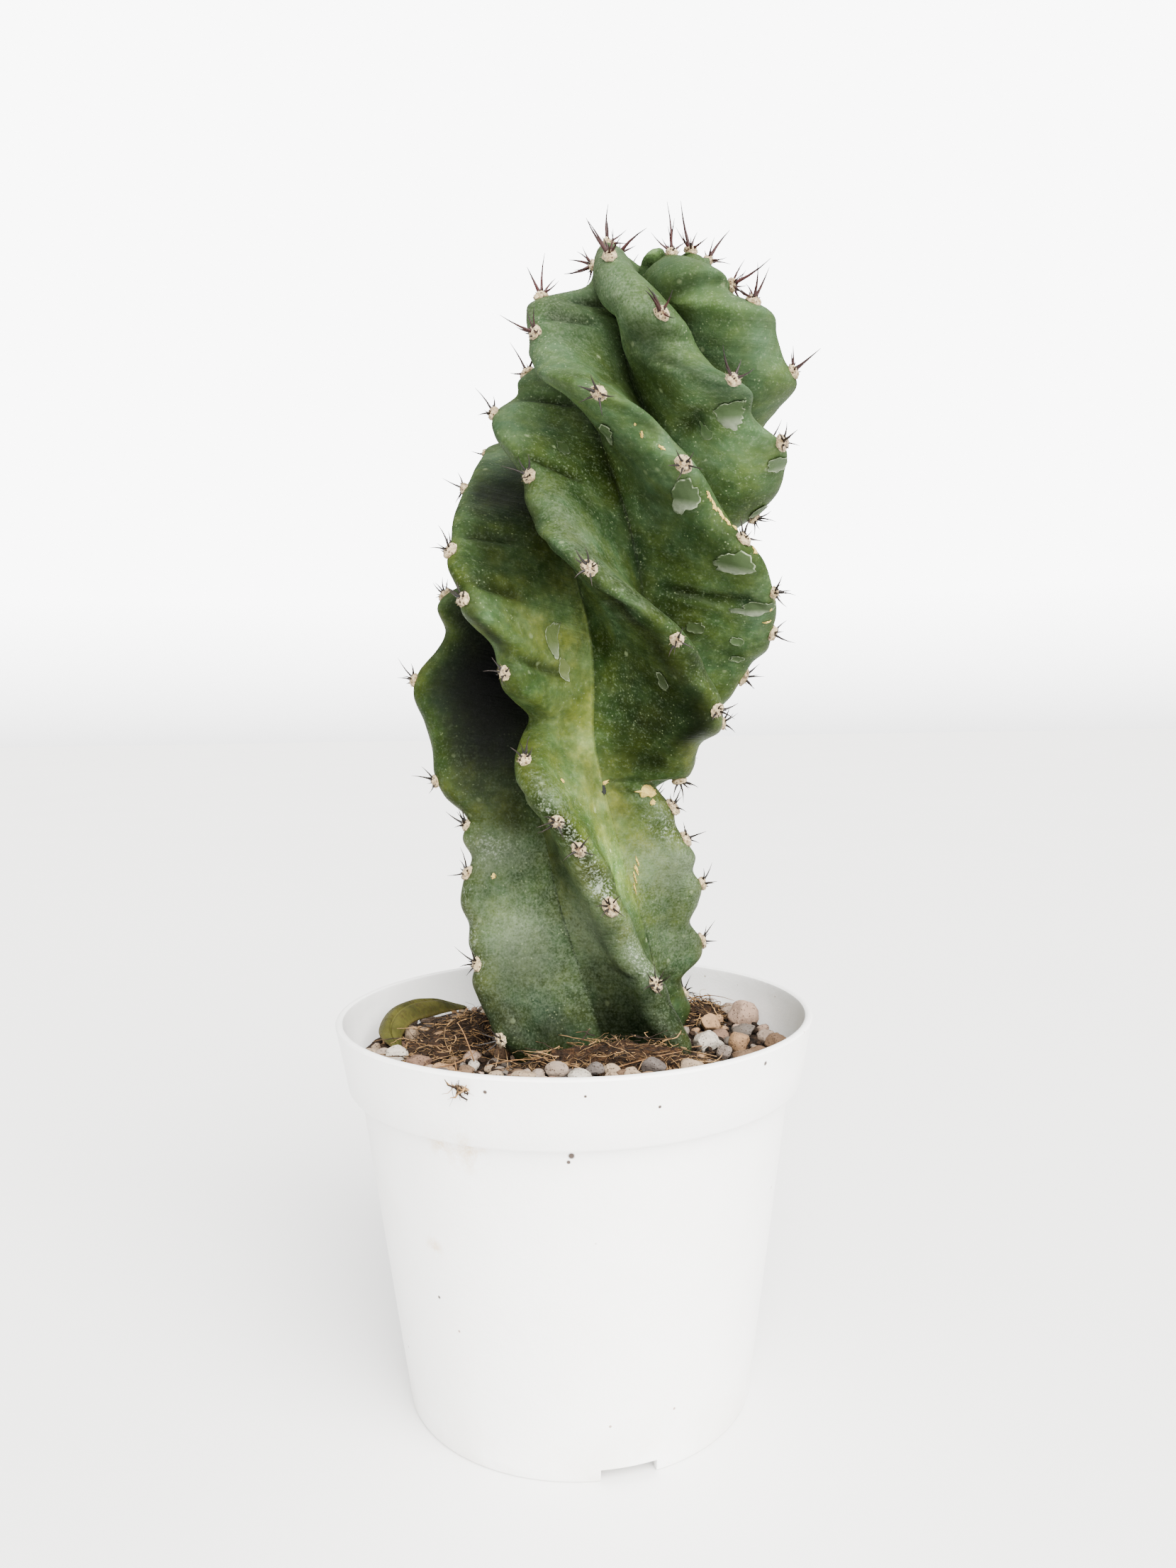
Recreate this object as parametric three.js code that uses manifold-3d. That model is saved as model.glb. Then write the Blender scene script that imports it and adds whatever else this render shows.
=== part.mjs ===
// A spiral cactus in a white plastic nursery pot, in millimetres, +Z up.
// The origin is on the pot's axis, on the surface that the pot stands on, and -Y faces the viewer.
import * as THREE from "three";
import { mergeVertices } from "three/addons/utils/BufferGeometryUtils.js";
import Module from "manifold-3d";

const { Manifold, Mesh: SolidMesh } = await startSolids();

// Clearance between neighbouring pieces
const GAP = 0.3;
const CUT_GAP = 0.4;

// Pot, a 15 cm nursery pot
const POT_HEIGHT = 122;
const RIM_RADIUS = 75.3;
const BAND_HEIGHT = 21.5;
const BAND_FOOT_RADIUS = 71.8;
const BODY_TOP_RADIUS = 68;
const FOOT_RADIUS = 54.5;
const FOOT_RISE = 4;
const WALL = 1.6;
const LIP = 2.4;
const POT_SIDES = 40;
const NOTCH_COUNT = 3;
const NOTCH_WIDTH = 16.5;
const NOTCH_FACING = 15;
const DRAIN_COUNT = 6;
const DRAIN_RADIUS = 4;
const DRAIN_CIRCLE = 38;

// What fills the pot
const SOIL_TOP = 103.7;
const GRAVEL_FLOOR = SOIL_TOP + GAP;
const GRAVEL_BED = 3;
const PEBBLE_COUNT = 68;
const PEBBLE_SIDES = 5;
const PEBBLE_LEAST = 3.1;
const PEBBLE_MOST = 6.4;

// Stem: sections a step apart along the stem, up to the shoulder, where the dome starts
const FIRST_LEVEL = 100;
const LEVEL_STEP = 36;
const CENTRE_X = [6.3, 4.5, 1.6, 2.2, 9.9, 19.6, 26.4, 29.9];
const CENTRE_Y = [14, 14, 13, 12, 10, 7, 3, -5];
const VALLEY_RADIUS = [25, 22, 19, 19, 19, 18, 16, 12];
const RIDGE_WIDTH = [7, 6.5, 6.5, 6.5, 7, 8, 9.5, 8.5];
const RIDGE_LEAN = [0, 0, 0, 0, -0.1, 0.2, 0.35, 0.35, 0.3];
const TWIST = [233, 214.5, 192.5, 171.5, 147, 91, 28, -27, -85];
const VALLEY_SHIFT = [0, 4, 2, 0, 0, -4, -13, -14];
const SHOULDER = 336;
const CROWN = 388;
const DOME_HEIGHT = 30;
const DOME_DIP = 18;
const ROOT_LEVEL = 84;
const ROOT_CLOSING = 18;

// Ribs in the order of their angles. turn: degrees from the twist, at each turn step; edge: how far
// the crest stands out, at each edge step; seen: areoles on the side that shows
const TURN_STEP = 18;
const EDGE_STEP = 6;
const RIBS = [
  {
    name: "E",
    turn: [
      -105.5, -107.5, -109.5, -108.5, -108.5, -110, -114, -117.5, -124.5, -136, -131, -132, -129.5, -130,
      -133, -133.5, -134,
    ],
    edge: [
      38.5, 37, 38.5, 35.5, 33.5, 40, 40, 36, 39, 40.5, 38, 39, 36.5, 33.5, 33.5, 33, 38, 41.5, 43.5,
      46.5, 54, 56.5, 58, 56, 59.5, 63, 61, 59.5, 52, 49.5, 45.5, 46, 48, 48, 46, 41, 42, 38.5, 36.5, 39,
      39.5, 37.5, 40, 40.5, 39, 40.5, 41, 40, 41,
    ],
    seen: [319, 301.5, 281.5, 258, 245, 227.5, 196.5, 185, 173.5, 154.5, 135],
  },
  {
    name: "D",
    turn: [-48, -48, -48, -49, -50, -52.5, -55, -59.5, -59, -53, -54, -58.5, -61.5, -62, -62, -62, -62],
    edge: [
      39.5, 40.5, 42.5, 39.5, 40, 42, 39, 39.5, 40.5, 37, 37, 39, 35.5, 37, 37.5, 34, 43, 42, 40, 45,
      49.5, 46.5, 48.5, 49.5, 51, 54.5, 54.5, 55, 54.5, 53.5, 46.5, 45.5, 48.5, 49.5, 60, 59.5, 51.5,
      47.5, 44, 42.5, 39, 24, 22, 24.5, 28, 32, 33.5, 37, 38,
    ],
    seen: [356, 341, 328.5, 305.5, 291.5, 277, 266.5, 255.5, 239],
    thickness: 1.05,
  },
  {
    name: "A",
    turn: [8, 8, 8, 7.5, 7, 5.5, 4.5, 3, 2, 3, 4.5, 5.5, -4.5, 1.5, -1, -1.5, -1],
    edge: [
      43.5, 44, 40.5, 42, 42.5, 39, 40.5, 41, 37, 37.5, 38, 34.5, 36.5, 38.5, 37, 40.5, 43.5, 42, 45.5,
      47.5, 45.5, 47.5, 49, 46, 47, 47, 42, 41.5, 40.5, 36, 34, 39.5, 45, 48, 51, 46, 55.5, 44.5, 37, 40,
      37, 34.5, 34, 32.5, 32.5, 34, 40, 38.5, 38.5,
    ],
    seen: [354.5, 335.5, 317, 304],
  },
  {
    name: "B",
    turn: [46, 46, 46, 46.5, 47.5, 49, 50.5, 52, 53.5, 54.5, 55.5, 56, 57, 55.5, 55, 56, 56],
    edge: [
      42, 44.5, 41.5, 40.5, 43, 40.5, 39, 41, 38, 36, 38.5, 35.5, 35, 38.5, 38, 39, 43.5, 43.5, 44, 48,
      47, 47.5, 51.5, 49.5, 48.5, 50.5, 46.5, 44, 45, 41, 39.5, 42.5, 40.5, 41, 44.5, 38, 41, 46, 42.5,
      41.5, 42, 31.5, 34.5, 25.5, 11, 12.5, 26, 41.5, 41.5,
    ],
    seen: [361.5, 342, 325],
    born: [140, 192],
  },
  {
    name: "G",
    turn: [100.5, 100, 95, 97.5, 102.5, 104, 104, 107, 114, 113.5, 113.5, 114, 114, 114, 114, 114, 114],
    edge: [
      37.5, 37, 40.5, 45.5, 45, 45, 45, 42, 42.5, 41, 42.5, 40.5, 36.5, 38.5, 36.5, 43, 46, 46.5, 49.5,
      54.5, 54, 50, 48.5, 53, 51.5, 45.5, 53, 53.5, 50.5, 53, 52.5, 49.5, 51, 50.5, 46.5, 47.5, 45.5,
      39.5, 38, 34, 28, 23.5, 24.5, 20.5, 19, 17.5, 26.5, 32, 33,
    ],
    seen: [243, 217.5, 194.5, 182, 168.5, 142, 119],
    thickness: 0.95,
  },
  {
    name: "F",
    turn: [
      173, 175, 175.5, 173.5, 173, 168.5, 163, 165.5, 166.5, 166, 165.5, 166, 166, 166, 166, 166, 166,
    ],
    edge: [
      43, 41.5, 44, 41.5, 38, 38.5, 36.5, 33, 33.5, 36.5, 36.5, 36.5, 41, 42, 44.5, 48, 46.5, 41.5, 32,
      26.5, 41.5, 45, 47, 57, 56.5, 58, 55, 54, 53, 53, 54, 56.5, 61.5, 68, 56.5, 58, 55.5, 52, 52, 46.5,
      43, 44.5, 39, 29, 25, 28.5, 32, 42, 41,
    ],
    seen: [276, 254, 242.5, 225, 202.5, 186, 177, 158, 132],
    thickness: 0.82,
  },
];
const HIDDEN_SPACING = 18;
const LOWEST_AREOLE = 116;
const HIGHEST_AREOLE = 379;
// The old wound, where rib E stops at an overhang and starts again narrower
const WOUND = { name: "E", level: 195, depth: 11, above: 1.2, below: 5, sharpness: 1.3 };

// Mesh of the stem: bands of rows, and places on a rib from its crest to the valley
const ROW_BANDS = [
  [84, 190, 19],
  [190, 200, 6],
  [200, 386, 32],
];
const RIDGE_SHARE = 0.5;
const RIDGE_DEPTH = 1.1;
const FLANK_BULGE = 0.42;
const RIB_PLACES = [-0.75, -0.5, -0.25, 0, 0.25, 0.5, 0.75, 1];

// Areoles and spines
const PAD_SIDES = 5;
const PAD_RADIUS = 2.9;
const PAD_TOP_RADIUS = 1.4;
const PAD_HEIGHT = 1.5;
const PAD_SUNK = 3.6;
const SPINE_SPREAD = 1.15;
const FURTHEST_TIP = 78.8;

const random = seeded(41);

async function startSolids() {
  const wasm = await Module();
  wasm.setup();
  return wasm;
}

// The same run of numbers from 0 to 1 for the same seed
function seeded(seed) {
  let state = seed;
  return () => {
    state = (state * 1664525 + 1013904223) % 4294967296;
    return state / 4294967296;
  };
}

const between = (low, high) => low + (high - low) * random();
const { lerp, degToRad, smoothstep, clamp } = THREE.MathUtils;

// Smooth curve through values that are a step apart
function law(values, level, step = LEVEL_STEP) {
  const last = values.length - 1;
  const place = clamp((level - FIRST_LEVEL) / step, -0.5, last + 0.5);
  const i = clamp(Math.floor(place), 0, last - 1);
  const w = place - i;
  const before = i > 0 ? values[i - 1] : 2 * values[0] - values[1];
  const after = i + 2 <= last ? values[i + 2] : 2 * values[last] - values[last - 1];
  const [a, b, c, d] = [before, values[i], values[i + 1], after];
  return 0.5 * (2 * b + (c - a) * w + (2 * a - 5 * b + 4 * c - d) * w * w + (3 * b - a - 3 * c + d) * w ** 3);
}

// Solids from three.js geometries, and back
function solidOf(geometry) {
  const bare = geometry.index ? geometry.toNonIndexed() : geometry.clone();
  bare.deleteAttribute("normal");
  bare.deleteAttribute("uv");
  const merged = mergeVertices(bare, 1e-4);
  return new Manifold(
    new SolidMesh({
      numProp: 3,
      vertProperties: merged.attributes.position.array,
      triVerts: new Uint32Array(merged.index.array),
    }),
  );
}

function geometryOf(solid) {
  const { vertProperties, triVerts } = solid.getMesh();
  const geometry = new THREE.BufferGeometry();
  geometry.setAttribute("position", new THREE.BufferAttribute(vertProperties, 3));
  geometry.setIndex(new THREE.BufferAttribute(triVerts, 1));
  return geometry;
}

const largest = (solid) => solid.decompose().sort((a, b) => b.volume() - a.volume())[0];

function indexed(points, faces) {
  const geometry = new THREE.BufferGeometry();
  geometry.setAttribute("position", new THREE.Float32BufferAttribute(points.flatMap((p) => p.toArray()), 3));
  geometry.setIndex(faces.flat());
  return geometry;
}

// Stem's centre line and the frame of a section square to it
function centreLine(level) {
  return new THREE.Vector3(law(CENTRE_X, level), law(CENTRE_Y, level), level);
}

function sectionFrame(level) {
  const low = Math.min(level, SHOULDER);
  const along = centreLine(low + 0.5).sub(centreLine(low - 0.5)).normalize();
  const right = new THREE.Vector3(1, 0, 0).addScaledVector(along, -along.x).normalize();
  const back = along.clone().cross(right);
  return { centre: centreLine(low), along, right, back };
}

// How far over the dome a level is, from 0 at the shoulder to 1 at the crown
const domeShare = (level) => clamp((level - SHOULDER) / (CROWN - SHOULDER), 0, 1);

// Areole levels of a rib, from the top down: those seen, and evenly spaced ones where it is hidden
function areoleLevels(rib) {
  const levels = [...rib.seen];
  while (levels[0] + HIDDEN_SPACING < HIGHEST_AREOLE) levels.unshift(levels[0] + HIDDEN_SPACING);
  while (levels.at(-1) - HIDDEN_SPACING > LOWEST_AREOLE) levels.push(levels.at(-1) - HIDDEN_SPACING);
  return levels;
}

function woundDip(rib, level) {
  if (rib.name !== WOUND.name) return 0;
  const off = level - WOUND.level;
  if (off > 0) return WOUND.depth * Math.exp(-((off / WOUND.above) ** 2));
  return WOUND.depth * Math.exp(-((-off / WOUND.below) ** WOUND.sharpness));
}

const crestAngle = (rib, level) => law(TWIST, level) + law(rib.turn, level, TURN_STEP);

// The root end of the stem closes under the gravel
function rootShare(level) {
  const depth = clamp((ROOT_LEVEL + ROOT_CLOSING - level) / ROOT_CLOSING, 0, 1);
  return Math.sqrt(1 - 0.8 * depth * depth);
}

const domeShrink = (level) => Math.cos((domeShare(level) * Math.PI) / 2) ** 0.85;

function crestRadius(rib, level) {
  const full = law(rib.edge, level, EDGE_STEP) * domeShrink(level) - woundDip(rib, level);
  const born = rib.born ? smoothstep(level, ...rib.born) : 1;
  return lerp(valleyRadius(level) / rootShare(level), full, born) * rootShare(level);
}

function valleyRadius(level) {
  return law(VALLEY_RADIUS, Math.min(level, SHOULDER)) * (1 - domeShare(level)) ** 0.8 * rootShare(level);
}

// Height over the section's centre: both crest and valley rise over the dome and meet at the crown
function domeRise(level, crestShare) {
  const t = domeShare(level);
  const crest = DOME_HEIGHT * Math.sin((t * Math.PI) / 2) - DOME_DIP * t ** 3;
  const valley = (DOME_HEIGHT - DOME_DIP) * Math.sin((t * Math.PI) / 2) ** 1.4;
  return lerp(valley, crest, crestShare);
}

// One side of a rib at a place from 0 on its crest to 1 in the valley: how far out, and how far
// aside. The ridge is rounded and leans, and its flank runs down to the valley.
function ribSide(place, crest, valley, level, swelling) {
  const low = Math.min(level, SHOULDER);
  const room = 0.75 * Math.max(crest - valley.x, 0);
  const width = Math.min(swelling * law(RIDGE_WIDTH, low) * domeShrink(level), 0.3 * valley.y + room);
  const depth = Math.min(RIDGE_DEPTH * width, room);
  if (place <= RIDGE_SHARE) {
    const turn = ((place / RIDGE_SHARE) * Math.PI) / 2;
    return new THREE.Vector2(crest - depth * (1 - Math.cos(turn)), width * Math.sin(turn));
  }
  const start = new THREE.Vector2(crest - depth, width);
  const middle = new THREE.Vector2(lerp(start.x, valley.x, FLANK_BULGE), width);
  const t = (place - RIDGE_SHARE) / (1 - RIDGE_SHARE);
  return start.lerp(middle, t).lerp(middle.clone().lerp(valley, t), t);
}

// Point on a rib: place is -1 in the valley before it, 0 on the crest and 1 in the valley after it
function stemPoint(ribIndex, place, level) {
  const rib = RIBS[ribIndex];
  const side = place < 0 ? -1 : 1;
  const neighbour = RIBS[(ribIndex + side + RIBS.length) % RIBS.length];
  const crestTurn = crestAngle(rib, level);
  const gap = THREE.MathUtils.euclideanModulo((crestAngle(neighbour, level) - crestTurn) * side, 360);
  const shift = law(VALLEY_SHIFT, Math.min(level, SHOULDER)) * (1 - domeShare(level));
  const valleyTurn = degToRad(gap / 2 + side * shift);
  const low = valleyRadius(level);
  const valley = new THREE.Vector2(low * Math.cos(valleyTurn), low * Math.sin(valleyTurn));
  const crest = crestRadius(rib, level);
  const lean = law(RIDGE_LEAN, Math.min(level, SHOULDER));
  const swelling = (rib.thickness ?? 1) * (1 - side * lean);
  const spot = ribSide(Math.abs(place), crest, valley, level, swelling);
  const crestShare = clamp((spot.x - valley.x) / Math.max(crest - valley.x, 1e-3), 0, 1);
  const { centre, along, right, back } = sectionFrame(level);
  const turn = degToRad(crestTurn);
  const x = spot.x * Math.sin(turn) + side * spot.y * Math.cos(turn);
  const y = side * spot.y * Math.sin(turn) - spot.x * Math.cos(turn);
  return centre
    .addScaledVector(along, domeRise(level, crestShare))
    .addScaledVector(right, x)
    .addScaledVector(back, y);
}

const stemRows = [
  ...ROW_BANDS.flatMap(([from, to, count]) => Array.from({ length: count }, (_, i) => lerp(from, to, i / count))),
  ROW_BANDS.at(-1)[1],
];

function stemGeometry(swell = 0) {
  const points = [];
  for (const level of stemRows) {
    RIBS.forEach((rib, i) => RIB_PLACES.forEach((place) => points.push(stemPoint(i, place, level))));
  }
  const around = RIBS.length * RIB_PLACES.length;
  const faces = [];
  for (let row = 0; row < stemRows.length - 1; row++) {
    for (let i = 0; i < around; i++) {
      const a = row * around + i;
      const b = row * around + ((i + 1) % around);
      faces.push([a, b, a + around], [b, b + around, a + around]);
    }
  }
  const foot = points.push(centreLine(ROOT_LEVEL)) - 1;
  const tip = points.push(stemPoint(0, 0, CROWN)) - 1;
  const last = (stemRows.length - 1) * around;
  for (let i = 0; i < around; i++) {
    const next = (i + 1) % around;
    faces.push([foot, next, i], [tip, last + i, last + next]);
  }
  const geometry = indexed(points, faces);
  if (swell > 0) moveOut(geometry, swell);
  return geometry;
}

// Every vertex moves out along its normal
function moveOut(geometry, distance) {
  geometry.computeVertexNormals();
  const { position, normal } = geometry.attributes;
  for (let i = 0; i < position.count; i++) {
    const p = new THREE.Vector3().fromBufferAttribute(position, i);
    p.addScaledVector(new THREE.Vector3().fromBufferAttribute(normal, i), distance);
    position.setXYZ(i, p.x, p.y, p.z);
  }
}

// Seat of an areole: its place on the crest, the way it faces, and the way up along the rib
function areoleSeat(ribIndex, level) {
  const at = stemPoint(ribIndex, 0, level);
  const up = stemPoint(ribIndex, 0, level + 1).sub(stemPoint(ribIndex, 0, level - 1)).normalize();
  const across = stemPoint(ribIndex, 0.03, level).sub(stemPoint(ribIndex, -0.03, level)).normalize();
  return { at, out: across.clone().cross(up).normalize(), up, across, level };
}

// Spines of one areole, one over each side of the pad: the first is long and points up and out
function spineTips({ up, across, out, level }) {
  const young = smoothstep(level, 230, 340);
  return Array.from({ length: PAD_SIDES }, (_, i) => {
    const turn = ((i + between(-0.2, 0.2)) / PAD_SIDES) * 2 * Math.PI;
    const direction = out.clone();
    direction.addScaledVector(up, SPINE_SPREAD * Math.cos(turn) * (i === 0 ? 0.5 : 1));
    direction.addScaledVector(across, -SPINE_SPREAD * Math.sin(turn));
    const length = i === 0 ? lerp(7, 12, young) : lerp(5.5, 7.5, young);
    return direction.setLength(length * between(0.85, 1.15));
  });
}

// A woolly pad with its spines, as one closed body: each side of its flat top rises to a spine
function areoleGeometry({ at, out, up, across, tips }, swell = 0) {
  const corner = (i, radius, height) => {
    const turn = ((i + 0.5) / PAD_SIDES) * 2 * Math.PI;
    const aside = up.clone().multiplyScalar(Math.cos(turn)).addScaledVector(across, -Math.sin(turn));
    return at.clone().addScaledVector(aside, radius + swell).addScaledVector(out, height + swell);
  };
  const sides = Array.from({ length: PAD_SIDES }, (_, i) => i);
  const points = [
    ...sides.map((i) => corner(i, PAD_RADIUS, -PAD_SUNK)),
    ...sides.map((i) => corner(i, PAD_TOP_RADIUS, PAD_HEIGHT)),
    ...tips.map((tip) => cropped(at.clone().addScaledVector(out, PAD_HEIGHT), tip, swell)),
    at.clone().addScaledVector(out, PAD_HEIGHT + swell),
    at.clone().addScaledVector(out, -PAD_SUNK),
  ];
  const [middle, foot] = [3 * PAD_SIDES, 3 * PAD_SIDES + 1];
  const faces = sides.flatMap((i) => {
    const before = (i + PAD_SIDES - 1) % PAD_SIDES;
    const [a, b] = [PAD_SIDES + before, PAD_SIDES + i];
    const tip = 2 * PAD_SIDES + i;
    return [[before, i, b], [before, b, a], [a, b, tip], [b, middle, tip], [middle, a, tip], [foot, i, before]];
  });
  return indexed(points, faces);
}

// Tip of a spine, drawn in if it would stand out past the pot's rim
function cropped(root, tip, swell) {
  const room = (FURTHEST_TIP - root.x) / Math.max(tip.x, 1e-6);
  const end = root.addScaledVector(tip, Math.min(1, room));
  return end.addScaledVector(tip.clone().normalize(), 4 * swell);
}

RIBS.forEach((rib) => (rib.levels = areoleLevels(rib)));
const seats = RIBS.flatMap((rib, i) => rib.levels.map((level) => areoleSeat(i, level)));
seats.forEach((seat) => (seat.tips = spineTips(seat)));

function makeCactus() {
  const areoles = seats.map((seat) => solidOf(areoleGeometry(seat)));
  return largest(Manifold.union([solidOf(stemGeometry()), ...areoles]));
}

// The stem with its lowest areoles, a little larger all over: what its neighbours keep clear of
function makeCactusClearance() {
  const lowest = seats.filter(({ at }) => at.z < 140);
  const areoles = lowest.map((seat) => solidOf(areoleGeometry(seat, CUT_GAP)));
  return Manifold.union([solidOf(stemGeometry(CUT_GAP)), ...areoles]);
}

const lathe = (outline, sides = POT_SIDES) =>
  solidOf(new THREE.LatheGeometry(outline.map(([r, z]) => new THREE.Vector2(r, z)), sides).rotateX(Math.PI / 2));

// Inside radius of the pot at a height over its floor
function innerRadius(height) {
  const bandFoot = POT_HEIGHT - BAND_HEIGHT;
  if (height > bandFoot + 2) {
    return lerp(BAND_FOOT_RADIUS, RIM_RADIUS, (height - bandFoot) / BAND_HEIGHT) - WALL;
  }
  return lerp(FOOT_RADIUS, BODY_TOP_RADIUS, height / bandFoot) - WALL;
}

function makePot() {
  const bandFoot = POT_HEIGHT - BAND_HEIGHT;
  const floorTop = FOOT_RISE + WALL;
  const outline = [
    [0, FOOT_RISE],
    [FOOT_RADIUS - WALL - 1.5, FOOT_RISE],
    [FOOT_RADIUS - WALL - 1, 0],
    [FOOT_RADIUS - 0.8, 0],
    [FOOT_RADIUS + 0.2, 1],
    [FOOT_RADIUS + 0.7, 4.5],
    [BODY_TOP_RADIUS, bandFoot],
    [BAND_FOOT_RADIUS - 1.4, bandFoot],
    [BAND_FOOT_RADIUS, bandFoot + 1.6],
    [RIM_RADIUS, POT_HEIGHT - 1],
    [RIM_RADIUS - 0.5, POT_HEIGHT],
    [RIM_RADIUS - LIP + 0.5, POT_HEIGHT],
    [RIM_RADIUS - LIP, POT_HEIGHT - 1],
    [innerRadius(POT_HEIGHT - 4), POT_HEIGHT - 4],
    [innerRadius(bandFoot + 2.1), bandFoot + 2.1],
    [innerRadius(bandFoot), bandFoot - 0.6],
    [innerRadius(floorTop), floorTop],
    [0, floorTop],
  ];
  let pot = lathe(outline);
  for (let i = 0; i < NOTCH_COUNT; i++) {
    const notch = new THREE.BoxGeometry(NOTCH_WIDTH, 16, 2 * FOOT_RISE - 0.4);
    notch.translate(0, -FOOT_RADIUS, 0).rotateZ(degToRad(NOTCH_FACING + (i * 360) / NOTCH_COUNT));
    pot = pot.subtract(solidOf(notch));
  }
  for (let i = 0; i < DRAIN_COUNT; i++) {
    const hole = new THREE.CylinderGeometry(DRAIN_RADIUS, DRAIN_RADIUS, 12, 10).rotateX(Math.PI / 2);
    hole.translate(0, -DRAIN_CIRCLE, FOOT_RISE).rotateZ(degToRad(NOTCH_FACING + (i * 360) / DRAIN_COUNT));
    pot = pot.subtract(solidOf(hole));
  }
  return pot;
}

function makeSoil(clearance) {
  const bandFoot = POT_HEIGHT - BAND_HEIGHT;
  const floor = FOOT_RISE + WALL + GAP;
  const outline = [
    [0, floor],
    [innerRadius(floor) - GAP, floor],
    [innerRadius(bandFoot) - GAP, bandFoot - 0.6],
    [innerRadius(bandFoot + 2.1) - GAP, bandFoot + 2.1 + GAP],
    [innerRadius(SOIL_TOP) - GAP, SOIL_TOP],
    [0, SOIL_TOP],
  ];
  return largest(lathe(outline).subtract(clearance));
}

// Tufts of coir on the gravel: centre, half sizes, turn in degrees, and number of fibres
const TUFTS = [
  { name: "coir_front", x: 13, y: -26, long: 31, wide: 9, high: 3.6, turn: -4, fibres: 20 },
  { name: "coir_left", x: -42, y: -4, long: 23, wide: 11, high: 3.2, turn: 62, fibres: 14 },
  { name: "coir_back", x: 44, y: 40, long: 12, wide: 8, high: 5, turn: -38, fibres: 10 },
];

function inTuft(x, y, margin) {
  return TUFTS.some((tuft) => {
    const turn = degToRad(tuft.turn);
    const dx = (x - tuft.x) * Math.cos(turn) + (y - tuft.y) * Math.sin(turn);
    const dy = (y - tuft.y) * Math.cos(turn) - (x - tuft.x) * Math.sin(turn);
    return Math.hypot(dx / (tuft.long + margin), dy / (tuft.wide + margin)) < 1;
  });
}

// Pebbles in the ring between the stem and the pot, the largest first, each clear of the tufts
function placePebbles() {
  const ring = innerRadius(GRAVEL_FLOOR + GRAVEL_BED) - GAP;
  const pebbles = [];
  for (let tries = 0; tries < 9000 && pebbles.length < PEBBLE_COUNT; tries++) {
    const size = lerp(PEBBLE_MOST, PEBBLE_LEAST, Math.sqrt(tries / 9000)) * between(0.85, 1.1);
    const spot = ring * Math.sqrt(random());
    const turn = between(0, 2 * Math.PI);
    const x = spot * Math.cos(turn);
    const y = spot * Math.sin(turn);
    const fromStem = Math.hypot(x - CENTRE_X[0], y - CENTRE_Y[0]);
    if (spot > ring - size * 1.12 || fromStem < 24 + size || inTuft(x, y, size * 0.4)) continue;
    if (pebbles.some((p) => Math.hypot(p.x - x, p.y - y) < 0.82 * (p.size + size))) continue;
    pebbles.push({ x, y, size, seed: Math.floor(random() * 1e6) });
  }
  return pebbles;
}

// A rough rounded stone, half sunk into the bed: two rings of corners and a top
function pebbleGeometry({ x, y, size, seed }, swell = 0) {
  const dent = seeded(seed);
  const lift = GRAVEL_FLOOR + GRAVEL_BED;
  const start = dent() * 2 * Math.PI;
  const long = 0.8 + 0.35 * dent();
  const corners = Array.from({ length: PEBBLE_SIDES }, (_, i) => {
    const turn = start + ((i + 0.4 * (dent() - 0.5)) / PEBBLE_SIDES) * 2 * Math.PI;
    return new THREE.Vector3(long * Math.cos(turn), Math.sin(turn) / long, 0);
  });
  const ring = (radius, height) =>
    corners.map((corner) => corner.clone().multiplyScalar(radius + swell / size).setZ(height));
  const top = new THREE.Vector3(0.2 * (dent() - 0.5), 0.2 * (dent() - 0.5), 0.92 + swell / size);
  const points = [...ring(0.88, -0.35), ...ring(1, 0.3), ...ring(0.62, 0.76 + swell / size), top];
  points.push(new THREE.Vector3(0, 0, -0.35));
  points.forEach((p) => p.multiplyScalar(size).add(new THREE.Vector3(x, y, lift)));
  const n = PEBBLE_SIDES;
  const faces = [];
  for (let i = 0; i < n; i++) {
    const next = (i + 1) % n;
    faces.push([i, next, n + next], [i, n + next, n + i], [n + i, n + next, 2 * n + next]);
    faces.push([n + i, 2 * n + next, 2 * n + i], [2 * n + i, 2 * n + next, 3 * n], [3 * n + 1, next, i]);
  }
  return indexed(points, faces);
}

function bareOf(geometry) {
  geometry.deleteAttribute("normal");
  geometry.deleteAttribute("uv");
  return geometry;
}

function makeGravel(pebbles, clearance) {
  const top = GRAVEL_FLOOR + GRAVEL_BED;
  const outline = [
    [0, GRAVEL_FLOOR],
    [innerRadius(GRAVEL_FLOOR) - GAP, GRAVEL_FLOOR],
    [innerRadius(top) - GAP, top],
    [0, top],
  ];
  const stones = pebbles.map((pebble) => solidOf(pebbleGeometry(pebble)));
  return largest(Manifold.union([lathe(outline), ...stones]).subtract(clearance));
}

// A bent fibre with a three-sided section, from its root to its tip
function fibreGeometry(root, tip, sag) {
  const middle = root.clone().lerp(tip, 0.5);
  middle.z += sag;
  const path = new THREE.QuadraticBezierCurve3(root, middle, tip);
  const section = new THREE.Shape();
  section.moveTo(0.6, 0).lineTo(-0.35, 0.5).lineTo(-0.35, -0.5);
  return new THREE.ExtrudeGeometry(section, { steps: 2, extrudePath: path, bevelEnabled: false });
}

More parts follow.
